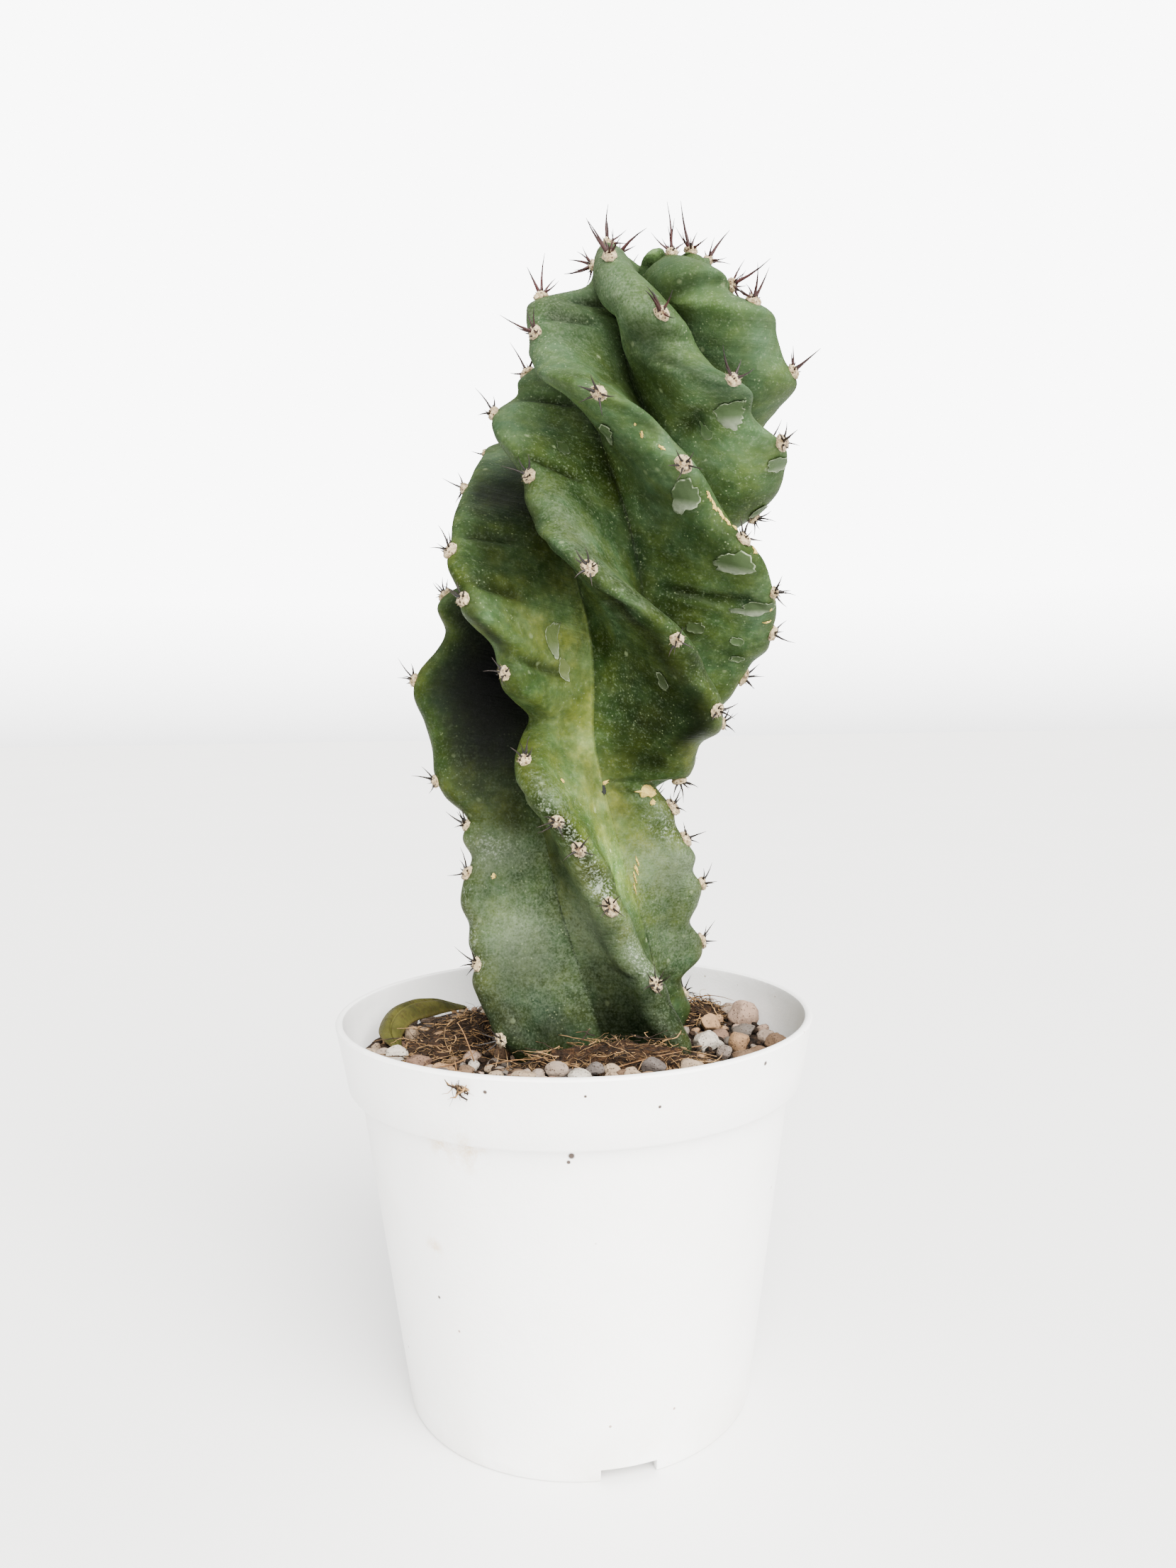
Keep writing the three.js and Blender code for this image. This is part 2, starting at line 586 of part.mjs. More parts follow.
// A flat lumpy mat with fibres standing out of it
function makeTuft(tuft, obstacles) {
  const floor = GRAVEL_FLOOR + GRAVEL_BED + GAP;
  const mat = mergeVertices(bareOf(new THREE.IcosahedronGeometry(1, 1)), 1e-4);
  const { position } = mat.attributes;
  const at = (x, y, z) => new THREE.Vector3(x * tuft.long, y * tuft.wide, Math.max(z, -0.6) * tuft.high);
  for (let i = 0; i < position.count; i++) {
    const stretch = between(0.86, 1.12);
    const p = at(position.getX(i) * stretch, position.getY(i) * stretch, position.getZ(i) * stretch);
    position.setXYZ(i, p.x, p.y, p.z);
  }
  const parts = [solidOf(mat)];
  for (let i = 0; i < tuft.fibres; i++) {
    const turn = between(0, 2 * Math.PI);
    const spot = between(0.2, 0.75);
    const root = at(spot * Math.cos(turn), spot * Math.sin(turn), 0.25);
    const run = new THREE.Vector3(Math.cos(turn) + between(-0.5, 0.5), Math.sin(turn) + between(-0.5, 0.5), 0);
    const tip = root.clone().addScaledVector(run.normalize(), between(7, 12));
    tip.z += between(-0.5, 3.5);
    parts.push(solidOf(fibreGeometry(root, tip, between(1.5, 4))));
  }
  const turn = degToRad(tuft.turn);
  const place = new THREE.Matrix4().makeRotationZ(turn).setPosition(tuft.x, tuft.y, floor + 0.6 * tuft.high);
  const tufted = Manifold.union(parts).transform(place.toArray());
  const room = lathe([
    [0, floor],
    [innerRadius(floor) - 0.8, floor],
    [innerRadius(POT_HEIGHT - 4) - 0.8, POT_HEIGHT - 4],
    [innerRadius(POT_HEIGHT - 4) - 0.8, POT_HEIGHT + 4],
    [0, POT_HEIGHT + 4],
  ]);
  return largest(tufted.intersect(room).subtract(obstacles));
}

// The dry leaf leans on the pot's wall at the left: a thin arched blade that tapers to both ends
const LEAF_LENGTH = 46;
const LEAF_HALF_WIDTH = 7.5;
const LEAF_THICKNESS = 0.8;
const LEAF_STEPS = 9;

function makeLeaf(obstacles) {
  const ridge = new THREE.CatmullRomCurve3([
    new THREE.Vector3(-40, 44, 113),
    new THREE.Vector3(-50, 33, 118.5),
    new THREE.Vector3(-57.5, 18, 119),
    new THREE.Vector3(-60, 4, 115.5),
    new THREE.Vector3(-56, -6, 110.5),
  ]);
  const stretch = LEAF_LENGTH / ridge.getLength();
  const points = [];
  const across = [-1, -0.45, 0, 0.45, 1];
  for (let i = 0; i <= LEAF_STEPS; i++) {
    const t = i / LEAF_STEPS;
    const half = LEAF_HALF_WIDTH * stretch * Math.sin(Math.PI * (0.06 + 0.88 * t)) ** 0.8;
    const at = ridge.getPointAt(t);
    const inward = new THREE.Vector3(-at.x, -at.y, 0).normalize();
    for (const face of [1, 0]) {
      for (const s of across) {
        const droop = -0.55 * half * s * s - 0.25 * half * s;
        const p = at.clone().addScaledVector(inward, s * half * 0.8);
        p.z += droop + face * LEAF_THICKNESS;
        points.push(p);
      }
    }
  }
  const row = 2 * across.length;
  const n = across.length;
  const faces = [];
  const quad = (a, b, c, d) => faces.push([a, c, b], [a, d, c]);
  for (let i = 0; i < LEAF_STEPS; i++) {
    const o = i * row;
    for (let j = 0; j < n - 1; j++) {
      quad(o + j, o + j + 1, o + row + j + 1, o + row + j);
      quad(o + n + j + 1, o + n + j, o + row + n + j, o + row + n + j + 1);
    }
    quad(o + n, o, o + row, o + row + n);
    quad(o + n - 1, o + 2 * n - 1, o + row + 2 * n - 1, o + row + n - 1);
  }
  for (let j = 0; j < n - 1; j++) {
    const o = LEAF_STEPS * row;
    quad(j + 1, j, n + j, n + j + 1);
    quad(o + j, o + j + 1, o + n + j + 1, o + n + j);
  }
  const blade = solidOf(indexed(points, faces));
  return largest(blade.subtract(obstacles));
}

// Colours and finishes
const finish = (color, roughness) => new THREE.MeshStandardMaterial({ color, roughness, metalness: 0 });
const POT_WHITE = finish(0xf1efec, 0.42);
const SKIN_GREEN = finish(0x4c6b45, 0.5);
const SOIL_BROWN = finish(0x2e211a, 0.95);
const PUMICE_TAN = finish(0xb39f8c, 0.9);
const COIR_BROWN = finish(0x8a5a33, 0.9);
const LEAF_OLIVE = finish(0x6f6a35, 0.6);

function piece(name, solid, material) {
  const mesh = new THREE.Mesh(geometryOf(solid), material);
  mesh.name = name;
  return mesh;
}

const plant = new THREE.Group();
const clearance = makeCactusClearance();
const pebbles = placePebbles();
const swollenPebbles = Manifold.union(pebbles.map((pebble) => solidOf(pebbleGeometry(pebble, CUT_GAP))));
const obstacles = Manifold.union([clearance, swollenPebbles]);

plant.add(piece("pot", makePot(), POT_WHITE));
plant.add(piece("soil", makeSoil(clearance), SOIL_BROWN));
plant.add(piece("pumice", makeGravel(pebbles, clearance), PUMICE_TAN));
plant.add(piece("cactus", makeCactus(), SKIN_GREEN));
for (const tuft of TUFTS) plant.add(piece(tuft.name, makeTuft(tuft, obstacles), COIR_BROWN));
plant.add(piece("dry_leaf", makeLeaf(obstacles), LEAF_OLIVE));

export default plant;
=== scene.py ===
# %% [markdown]
# # A spiral cactus in a nursery pot
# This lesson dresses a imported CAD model: the same pot and the same twisted stem, with the skin,
# wool, spines, stones and fibres that make the plant look grown. The pot's axis is the Z axis and
# Blender's lengths are metres, so each piece goes where the CAD says, with no fitting. The sizes
# in this file are in millimetres, and MM turns them into metres.

# %% Load the fixed frame
import bpy
import math
import random
import numpy as np
from mathutils import Matrix, Vector, noise


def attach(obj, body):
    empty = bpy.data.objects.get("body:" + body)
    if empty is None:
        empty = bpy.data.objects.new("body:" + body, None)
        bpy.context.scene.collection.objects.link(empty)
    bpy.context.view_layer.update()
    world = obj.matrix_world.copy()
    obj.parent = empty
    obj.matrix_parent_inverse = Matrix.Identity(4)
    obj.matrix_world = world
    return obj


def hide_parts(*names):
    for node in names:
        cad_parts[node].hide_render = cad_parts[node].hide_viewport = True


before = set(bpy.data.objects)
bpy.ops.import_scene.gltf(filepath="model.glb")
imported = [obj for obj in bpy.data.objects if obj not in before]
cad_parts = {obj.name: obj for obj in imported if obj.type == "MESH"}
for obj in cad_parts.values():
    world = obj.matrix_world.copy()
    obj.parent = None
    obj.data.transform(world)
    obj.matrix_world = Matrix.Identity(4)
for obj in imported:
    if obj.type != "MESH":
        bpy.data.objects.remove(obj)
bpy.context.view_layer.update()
MM, FULL_TURN = 0.001, 2 * math.pi
print("nodes", sorted(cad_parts))

# %% [markdown]
# ## Camera
# The photograph was taken from just above the pot's rim, close by, so the pot's foot is seen
# smaller than its rim. The camera was worked out from the outlines of the rim, the band and the
# foot: where it stands, how far it looks down, and how much it rolls.

# %% Camera
PHOTO_HEIGHT_PX, FOCAL_PX = 2212, 1632.0
EYE = Vector((0.0056, -0.3677, 0.2146))
LOOK_DOWN, ROLL = math.radians(3.27), math.radians(-0.94)

lens_data = bpy.data.cameras.new("camera")
lens_data.sensor_fit = "VERTICAL"
lens_data.sensor_height = 36.0
lens_data.lens = FOCAL_PX / PHOTO_HEIGHT_PX * lens_data.sensor_height
lens_data.clip_start, lens_data.clip_end = 0.01, 20.0
camera = bpy.data.objects.new("camera", lens_data)
bpy.context.collection.objects.link(camera)
turned = Matrix.Rotation(math.pi / 2 - LOOK_DOWN, 4, "X") @ Matrix.Rotation(ROLL, 4, "Z")
camera.matrix_world = Matrix.Translation(EYE) @ turned
bpy.context.scene.camera = camera
print("lens", round(lens_data.lens, 2), "mm")

# %% [markdown]
# ## The stem's laws
# A spiral cactus is a ribbed column that twists as it grows. Its shape is a few curves along
# its length: where the centre is, how deep the valleys are, how thick the ridges are, and how
# far the whole has turned. The values are a fixed step apart and a smooth curve runs through
# them. A level is a height on the stem before its crown bends it.

# %% Curves along the stem
FIRST_LEVEL, LEVEL_STEP = 100.0, 36.0
CENTRE_X = [6.3, 4.5, 1.6, 2.2, 9.9, 19.6, 26.4, 29.9]
CENTRE_Y = [14, 14, 13, 12, 10, 7, 3, -5]
VALLEY_RADIUS = [25, 22, 19, 19, 19, 18, 16, 12]
RIDGE_WIDTH = [7, 6.5, 6.5, 6.5, 7, 8, 9.5, 8.5]
RIDGE_LEAN = [0, 0, 0, 0, -0.1, 0.2, 0.35, 0.35, 0.3]
TWIST = [233, 214.5, 192.5, 171.5, 147, 91, 28, -27, -85]
VALLEY_SHIFT = [0, 4, 2, 0, 0, -4, -13, -14]


def curve(knots, place):
    """Catmull-Rom curve through knots, at a place that counts them from 0."""
    knots = np.asarray(knots, float)
    last = len(knots) - 1
    knots = np.concatenate([[2 * knots[0] - knots[1]], knots, [2 * knots[-1] - knots[-2]]])
    i = np.clip(np.floor(place).astype(int), 0, last - 1)
    w = place - i
    a, b, c, d = knots[i], knots[i + 1], knots[i + 2], knots[i + 3]
    return 0.5 * (2 * b + (c - a) * w + (2 * a - 5 * b + 4 * c - d) * w**2 + (3 * b - a - 3 * c + d) * w**3)


def law(values, level, step=LEVEL_STEP):
    """Smooth curve through values that are a step apart."""
    place = (np.asarray(level, float) - FIRST_LEVEL) / step
    return curve(values, np.clip(place, -0.5, len(values) - 0.5))


def smooth(value, low, high):
    """Soft step from 0 at low to 1 at high."""
    t = np.clip((value - low) / (high - low), 0, 1)
    return t * t * (3 - 2 * t)


# %% [markdown]
# Six ribs stand out, named by letters. Each has its own angle off the twist, its own reach at
# each step, and its areoles. Those on the side that shows are listed, and the hidden side goes
# on with an even spacing. Rib B is born part of the way up.

# %% Ribs, each with its angles, its edge and its areoles
TURN_STEP, EDGE_STEP = 18.0, 6.0
RIBS = [
    dict(
        name="E",
        turn=[
            -105.5, -107.5, -109.5, -108.5, -108.5, -110, -114, -117.5, -124.5, -136, -131, -132, -129.5,
            -130, -133, -133.5, -134,
        ],
        edge=[
            38.5, 37, 38.5, 35.5, 33.5, 40, 40, 36, 39, 40.5, 38, 39, 36.5, 33.5, 33.5, 33, 38, 41.5,
            43.5, 46.5, 54, 56.5, 58, 56, 59.5, 63, 61, 59.5, 52, 49.5, 45.5, 46, 48, 48, 46, 41, 42,
            38.5, 36.5, 39, 39.5, 37.5, 40, 40.5, 39, 40.5, 41, 40, 41,
        ],
        seen=[319, 301.5, 281.5, 258, 245, 227.5, 196.5, 185, 173.5, 154.5, 135],
    ),
    dict(
        name="D",
        turn=[
            -48, -48, -48, -49, -50, -52.5, -55, -59.5, -59, -53, -54, -58.5, -61.5, -62, -62, -62, -62,
        ],
        edge=[
            39.5, 40.5, 42.5, 39.5, 40, 42, 39, 39.5, 40.5, 37, 37, 39, 35.5, 37, 37.5, 34, 43, 42, 40,
            45, 49.5, 46.5, 48.5, 49.5, 51, 54.5, 54.5, 55, 54.5, 53.5, 46.5, 45.5, 48.5, 49.5, 60, 59.5,
            51.5, 47.5, 44, 42.5, 39, 24, 22, 24.5, 28, 32, 33.5, 37, 38,
        ],
        seen=[356, 341, 328.5, 305.5, 291.5, 277, 266.5, 255.5, 239],
        thickness=1.05,
    ),
    dict(
        name="A",
        turn=[8, 8, 8, 7.5, 7, 5.5, 4.5, 3, 2, 3, 4.5, 5.5, -4.5, 1.5, -1, -1.5, -1],
        edge=[
            43.5, 44, 40.5, 42, 42.5, 39, 40.5, 41, 37, 37.5, 38, 34.5, 36.5, 38.5, 37, 40.5, 43.5, 42,
            45.5, 47.5, 45.5, 47.5, 49, 46, 47, 47, 42, 41.5, 40.5, 36, 34, 39.5, 45, 48, 51, 46, 55.5,
            44.5, 37, 40, 37, 34.5, 34, 32.5, 32.5, 34, 40, 38.5, 38.5,
        ],
        seen=[354.5, 335.5, 317, 304],
    ),
    dict(
        name="B",
        turn=[46, 46, 46, 46.5, 47.5, 49, 50.5, 52, 53.5, 54.5, 55.5, 56, 57, 55.5, 55, 56, 56],
        edge=[
            42, 44.5, 41.5, 40.5, 43, 40.5, 39, 41, 38, 36, 38.5, 35.5, 35, 38.5, 38, 39, 43.5, 43.5, 44,
            48, 47, 47.5, 51.5, 49.5, 48.5, 50.5, 46.5, 44, 45, 41, 39.5, 42.5, 40.5, 41, 44.5, 38, 41,
            46, 42.5, 41.5, 42, 31.5, 34.5, 25.5, 11, 12.5, 26, 41.5, 41.5,
        ],
        seen=[361.5, 342, 325],
        born=(140, 192),
    ),
    dict(
        name="G",
        turn=[
            100.5, 100, 95, 97.5, 102.5, 104, 104, 107, 114, 113.5, 113.5, 114, 114, 114, 114, 114, 114,
        ],
        edge=[
            37.5, 37, 40.5, 45.5, 45, 45, 45, 42, 42.5, 41, 42.5, 40.5, 36.5, 38.5, 36.5, 43, 46, 46.5,
            49.5, 54.5, 54, 50, 48.5, 53, 51.5, 45.5, 53, 53.5, 50.5, 53, 52.5, 49.5, 51, 50.5, 46.5,
            47.5, 45.5, 39.5, 38, 34, 28, 23.5, 24.5, 20.5, 19, 17.5, 26.5, 32, 33,
        ],
        seen=[243, 217.5, 194.5, 182, 168.5, 142, 119],
        thickness=0.95,
    ),
    dict(
        name="F",
        turn=[
            173, 175, 175.5, 173.5, 173, 168.5, 163, 165.5, 166.5, 166, 165.5, 166, 166, 166, 166, 166,
            166,
        ],
        edge=[
            43, 41.5, 44, 41.5, 38, 38.5, 36.5, 33, 33.5, 36.5, 36.5, 36.5, 41, 42, 44.5, 48, 46.5, 41.5,
            32, 26.5, 41.5, 45, 47, 57, 56.5, 58, 55, 54, 53, 53, 54, 56.5, 61.5, 68, 56.5, 58, 55.5, 52,
            52, 46.5, 43, 44.5, 39, 29, 25, 28.5, 32, 42, 41,
        ],
        seen=[276, 254, 242.5, 225, 202.5, 186, 177, 158, 132],
        thickness=0.82,
    ),
]
HIDDEN_SPACING, LOWEST_AREOLE, HIGHEST_AREOLE = 18, 116, 379

for rib in RIBS:
    levels = list(rib["seen"])
    while levels[0] + HIDDEN_SPACING < HIGHEST_AREOLE:
        levels.insert(0, levels[0] + HIDDEN_SPACING)
    while levels[-1] - HIDDEN_SPACING > LOWEST_AREOLE:
        levels.append(levels[-1] - HIDDEN_SPACING)
    rib["levels"] = np.array(levels, float)
print("areoles", sum(len(rib["levels"]) for rib in RIBS))

# %% Radii and rises, from the gravel to the crown
SHOULDER, CROWN = 336.0, 388.0
DOME_HEIGHT, DOME_DIP = 30.0, 18.0
CREST_ROUNDING, VALLEY_ROUNDING = 0.85, 0.8
ROOT_LEVEL, ROOT_CLOSING, ROOT_TAPER = 84.0, 18.0, 0.8
WOUNDED_RIB, WOUND_LEVEL, WOUND_DEPTH = "E", 195.0, 11.0
WOUND_ABOVE, WOUND_BELOW, WOUND_SHARPNESS = 1.2, 5.0, 1.3


def dome_share(level):
    return np.clip((level - SHOULDER) / (CROWN - SHOULDER), 0, 1)


def dome_shrink(level):
    return np.maximum(np.cos(dome_share(level) * math.pi / 2), 0) ** CREST_ROUNDING


def root_share(level):
    depth = np.clip((ROOT_LEVEL + ROOT_CLOSING - level) / ROOT_CLOSING, 0, 1)
    return np.sqrt(1 - ROOT_TAPER * depth**2)


def lobe_place(rib, level):
    """How far a level is from the areole above it (0) to the one below it (1)."""
    levels = rib["levels"]
    padded = np.concatenate([[levels[0] + HIDDEN_SPACING], levels, [levels[-1] - HIDDEN_SPACING]])
    above = np.searchsorted(-levels, -level, side="right")
    return (padded[above] - level) / (padded[above] - padded[above + 1])


def wound_dip(rib, level):
    """How far the old wound cuts into its rib: a sharp upper edge and a long lower one."""
    if rib["name"] != WOUNDED_RIB:
        return 0 * level
    off = level - WOUND_LEVEL
    above = np.exp(-((off / WOUND_ABOVE) ** 2))
    below = np.exp(-(np.abs(off) / WOUND_BELOW) ** WOUND_SHARPNESS)
    return WOUND_DEPTH * np.where(off > 0, above, below)


def crest_angle(rib, level):
    return law(TWIST, level) + law(rib["turn"], level, TURN_STEP)


def valley_radius(level):
    low = np.minimum(level, SHOULDER)
    return law(VALLEY_RADIUS, low) * (1 - dome_share(level)) ** VALLEY_ROUNDING * root_share(level)


def crest_radius(rib, level):
    full = law(rib["edge"], level, EDGE_STEP) * dome_shrink(level) - wound_dip(rib, level)
    born = smooth(level, *rib["born"]) if "born" in rib else 1.0
    valley = valley_radius(level) / root_share(level)
    return (valley + (full - valley) * born) * root_share(level)


# %% Section planes, square to the leaning centre line
def centre_line(level):
    return np.stack([law(CENTRE_X, level), law(CENTRE_Y, level), level], -1)


def section_frame(level):
    """Centre of the section at a level, with the directions along the stem, right and back."""
    low = np.minimum(level, SHOULDER)
    along = centre_line(low + 0.5) - centre_line(low - 0.5)
    along /= np.linalg.norm(along, axis=-1, keepdims=True)
    right = np.array([1.0, 0, 0]) - along * along[..., :1]
    right /= np.linalg.norm(right, axis=-1, keepdims=True)
    return centre_line(low), along, right, np.cross(along, right)


# %% [markdown]
# ## One rib
# Cut across, a rib has a rounded ridge and two flanks that run down to the valleys. Low on the
# stem the ridges are thin; near the top they are swollen and lean over their valleys, which
# close to slits. So a place on a rib is found in two steps: how far out and aside it is in the
# section, and then where the section is.

# %% A point of the skin
RIDGE_DEPTH, RIDGE_ROOM, VALLEY_ROOM = 1.1, 0.75, 0.3
FLANK_BULGE, RIDGE_END = 0.42, 0.5


def rib_side(place, crest, valley_out, valley_aside, level, swelling):
    """Out and aside of one side of a rib, at places from 0 on the crest to 1 in the valley."""
    low = np.minimum(level, SHOULDER)
    room = RIDGE_ROOM * np.maximum(crest - valley_out, 0)
    width = swelling * law(RIDGE_WIDTH, low) * dome_shrink(level)
    width = np.minimum(width, VALLEY_ROOM * valley_aside + room)
    depth = np.minimum(RIDGE_DEPTH * width, room)
    turn = np.minimum(place / RIDGE_END, 1) * math.pi / 2
    t = np.clip((place - RIDGE_END) / (1 - RIDGE_END), 0, 1)
    start = crest - depth
    middle = start + (valley_out - start) * FLANK_BULGE
    flank_out = (1 - t) ** 2 * start + 2 * t * (1 - t) * middle + t**2 * valley_out
    flank_aside = (1 - t) ** 2 * width + 2 * t * (1 - t) * width + t**2 * valley_aside
    out = np.where(place <= RIDGE_END, crest - depth * (1 - np.cos(turn)), flank_out)
    aside = np.where(place <= RIDGE_END, width * np.sin(turn), flank_aside)
    return out, aside


def same_shape(place, level):
    return np.broadcast_arrays(np.asarray(place, float), np.asarray(level, float))


def skin_point(rib_index, place, level):
    """Points of the skin in millimetres: place runs from -1 through the crest at 0 to 1."""
    place, level = same_shape(place, level)
    rib, low = RIBS[rib_index], np.minimum(level, SHOULDER)
    side = np.where(place < 0, -1.0, 1.0)
    turn = crest_angle(rib, level)
    neighbours = [crest_angle(RIBS[(rib_index + s) % len(RIBS)], level) for s in (-1, 1)]
    gap = np.where(place < 0, (turn - neighbours[0]) % 360, (neighbours[1] - turn) % 360)
    shift = law(VALLEY_SHIFT, low) * (1 - dome_share(level))
    valley_turn = np.radians(gap / 2 + side * shift)
    crest, valley = crest_radius(rib, level), valley_radius(level)
    valley_out, valley_aside = valley * np.cos(valley_turn), valley * np.sin(valley_turn)
    swelling = rib.get("thickness", 1) * (1 - side * law(RIDGE_LEAN, low))
    out, aside = rib_side(np.abs(place), crest, valley_out, valley_aside, level, swelling)
    share = np.clip((out - valley_out) / np.maximum(crest - valley_out, 1e-3), 0, 1)
    dome = dome_share(level) * math.pi / 2
    crest_rise = DOME_HEIGHT * np.sin(dome) - DOME_DIP * dome_share(level) ** 3
    valley_rise = (DOME_HEIGHT - DOME_DIP) * np.sin(dome) ** 1.4
    rise = valley_rise + (crest_rise - valley_rise) * share
    centre, along, right, back = section_frame(level)
    turn = np.radians(turn)
    x = out * np.sin(turn) + side * aside * np.cos(turn)
    y = side * aside * np.sin(turn) - out * np.cos(turn)
    return centre + along * rise[..., None] + right * x[..., None] + back * y[..., None]

# %% [markdown]
# ## The stem's mesh
# No primitive comes near this form, so the mesh is laid out by its laws: rows up the stem, and
# columns round it that follow the ribs, so the edges run along the crests and valleys. The CAD
# solid has the same form with fewer rows.

# %% Rows and columns of the skin
ROWS = 400
SIDE_PLACES = np.concatenate([np.linspace(0, 0.5, 7)[1:], np.linspace(0.5, 1, 14)[1:-1], [0.985, 1]])
PLACES = np.concatenate([-SIDE_PLACES[-2::-1], [0.0], SIDE_PLACES])
LEVELS = np.linspace(ROOT_LEVEL, CROWN - 0.4, ROWS)
PLACE_GRID, LEVEL_GRID = np.meshgrid(PLACES, LEVELS)


def over_ribs(rule):
    """A rule of rib, place and level, laid out over the rows and columns of the whole skin."""
    return np.concatenate([rule(i, PLACE_GRID, LEVEL_GRID) for i in range(len(RIBS))], axis=1)


print("skin grid", over_ribs(skin_point).shape)

# %% [markdown]
# ## Relief of the skin
# The real skin isn't as even as its laws. A fold runs across each flank from just above every
# areole down to the valley, the flank swells a little between two folds, and the whole surface
# undulates. These heights are laid on along the skin's own normal. Some folds are much stronger
# than others, so each has its own depth and slope. A flank is named by its rib and its side.

# %% Folds across the flanks
FOLD_ABOVE, FOLD_WIDTH, STRONG_DEPTH = 4.0, 1.3, 1.7
FLANKS = {-1: "-", 1: "+"}
STRONG_FOLDS = {
    "A-": (304,),
    "D+": (341, 328.5),
    "D-": (255.5,),
    "E+": (319, 301.5, 281.5),
    "E-": (245,),
    "F+": (254, 242.5, 225),
    "G-": (168.5,),
}
random.seed(11)
for rib in RIBS:
    rib["folds"] = []
    for areole in rib["levels"]:
        for side, flank in FLANKS.items():
            depth = 0.15 + 0.75 * random.random() ** 2
            if areole in STRONG_FOLDS.get(rib["name"] + flank, ()):
                depth = STRONG_DEPTH
            slope, bend, reach = random.uniform(-4, 6), random.uniform(-2, 2), random.uniform(0.7, 1.0)
            rib["folds"].append((side, areole + FOLD_ABOVE, depth, slope, bend, reach))


def fold_depth(rib_index, place, level):
    """Depth of the folds in millimetres. A fold is softer above its line than below it."""
    deepest = 0 * place
    for side, line, depth, slope, bend, reach in RIBS[rib_index]["folds"]:
        aside = place * side
        off = (level - line - slope * aside - bend * np.sin(5 * aside)) / FOLD_WIDTH
        ramp = smooth(aside, 0.12, 0.45) * (1 - smooth(aside, reach - 0.15, reach))
        deepest = np.maximum(deepest, depth * ramp * np.exp(-np.where(off > 0, 0.5, 1) * off**2))
    return deepest


print("folds", sum(len(rib["folds"]) for rib in RIBS))

# %% Heights of the relief
SWELL, WAVES, RIPPLES = 0.6, 0.35, 0.1


def lumps(points, size, seed):
    """Smooth noise from -1 to 1 at points in millimetres, in lumps of a size."""
    shift = Vector((seed * 17.3, seed * -9.1, seed * 5.7))
    flat = points.reshape(-1, 3) / size
    return np.array([noise.noise(Vector(p) + shift) for p in flat.tolist()]).reshape(points.shape[:-1])


def relief(rib_index, place, level):
    """How far the skin stands out, in millimetres."""
    lobe = lobe_place(RIBS[rib_index], level)
    aside = np.abs(place)
    flank = smooth(aside, 0.08, 0.4) * (1 - smooth(aside, 0.8, 1))
    points = skin_point(rib_index, place, level)
    uneven = (WAVES * lumps(points, 13, 1) + RIPPLES * lumps(points, 4, 2)) * (1 - smooth(aside, 0.9, 1))
    return SWELL * np.sin(math.pi * lobe) * flank - fold_depth(rib_index, place, level) + uneven


def skin_normal(rib_index, place, level):
    over = skin_point(rib_index, place + 0.02, level) - skin_point(rib_index, place - 0.02, level)
    up = skin_point(rib_index, place, level + 0.4) - skin_point(rib_index, place, level - 0.4)
    normal = np.cross(over, up)
    return normal / np.maximum(np.linalg.norm(normal, axis=-1, keepdims=True), 1e-9)


def skin(rib_index, place, level, lift=0.0):
    """Points of the finished skin in millimetres, lifted off it by a height."""
    place, level = same_shape(place, level)
    height = relief(rib_index, place, level) + lift
    return skin_point(rib_index, place, level) + skin_normal(rib_index, place, level) * height[..., None]


print("relief", np.round(np.ptp(over_ribs(relief)), 2), "mm from lowest to highest")

# %% Pieces from points and faces
def piece_of(name, points, faces):
    """A smooth-shaded piece with its points given in metres."""
    mesh = bpy.data.meshes.new(name)
    mesh.from_pydata(points.tolist(), [], faces)
    mesh.shade_smooth()
    piece = bpy.data.objects.new(name, mesh)
    bpy.context.collection.objects.link(piece)
    return piece


def joined(parts):
    """All points and all faces of many parts, where a part is its points and its faces."""
    points, faces, count = [], [], 0
    for co, polygons in parts:
        points.append(co)
        faces += [[v + count for v in polygon] for polygon in polygons]
        count += len(co)
    return np.concatenate(points), faces


def ring_quads(rows, around):
    """Faces between rows of points that go all the way round."""
    i, j = np.meshgrid(np.arange(rows - 1), np.arange(around), indexing="ij")
    a = (i * around + j).ravel()
    b = (i * around + (j + 1) % around).ravel()
    return np.stack([a, b, b + around, a + around], 1).tolist()


def ring_fan(ring, around, hub):
    """Faces from the last row of points to one point in its middle."""
    return [[ring + k, ring + (k + 1) % around, hub] for k in range(around)]


def closed_tube(name, grid, foot, tip):
    """A tube from rows of points in millimetres, closed at both ends with a fan."""
    rows, around = grid.shape[:2]
    faces = ring_quads(rows, around)
    faces += [[b, a, hub] for a, b, hub in ring_fan(0, around, rows * around)]
    faces += ring_fan((rows - 1) * around, around, rows * around + 1)
    return piece_of(name, np.concatenate([grid.reshape(-1, 3), [foot, tip]]) * MM, faces)


def belongs(piece, node):
    """Every piece rides on the one body and stands for a node, whose CAD part is hidden."""
    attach(piece, "root")
    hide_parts(node)


stem = closed_tube("stem", over_ribs(skin), centre_line(np.array(ROOT_LEVEL)), skin_point(0, 0.0, CROWN))
belongs(stem, "cactus")
print("stem", len(stem.data.polygons), "faces")

# %% [markdown]
# ## Colour of the skin
# The stem is blue-green where it is young and olive where it is old. It is darker in the valleys,
# partly a deeper green and partly painted shade. Painted shade also darkens the slits near the
# top, the folds, the creases, the foot and spots where the flanks lie in shade. It is yellow-green
# about the inner seams, partly its own colour and partly painted light, and whitish where the
# waxy bloom is whole, which high on ribs D and A is partly a painted sheen. Spots of painted light
# and painted shade make the skin lighter or darker. Where the colour follows the form it is
# worked out per point and kept in an attribute. The small patterns, which don't follow the
# form, are left to the material's nodes.

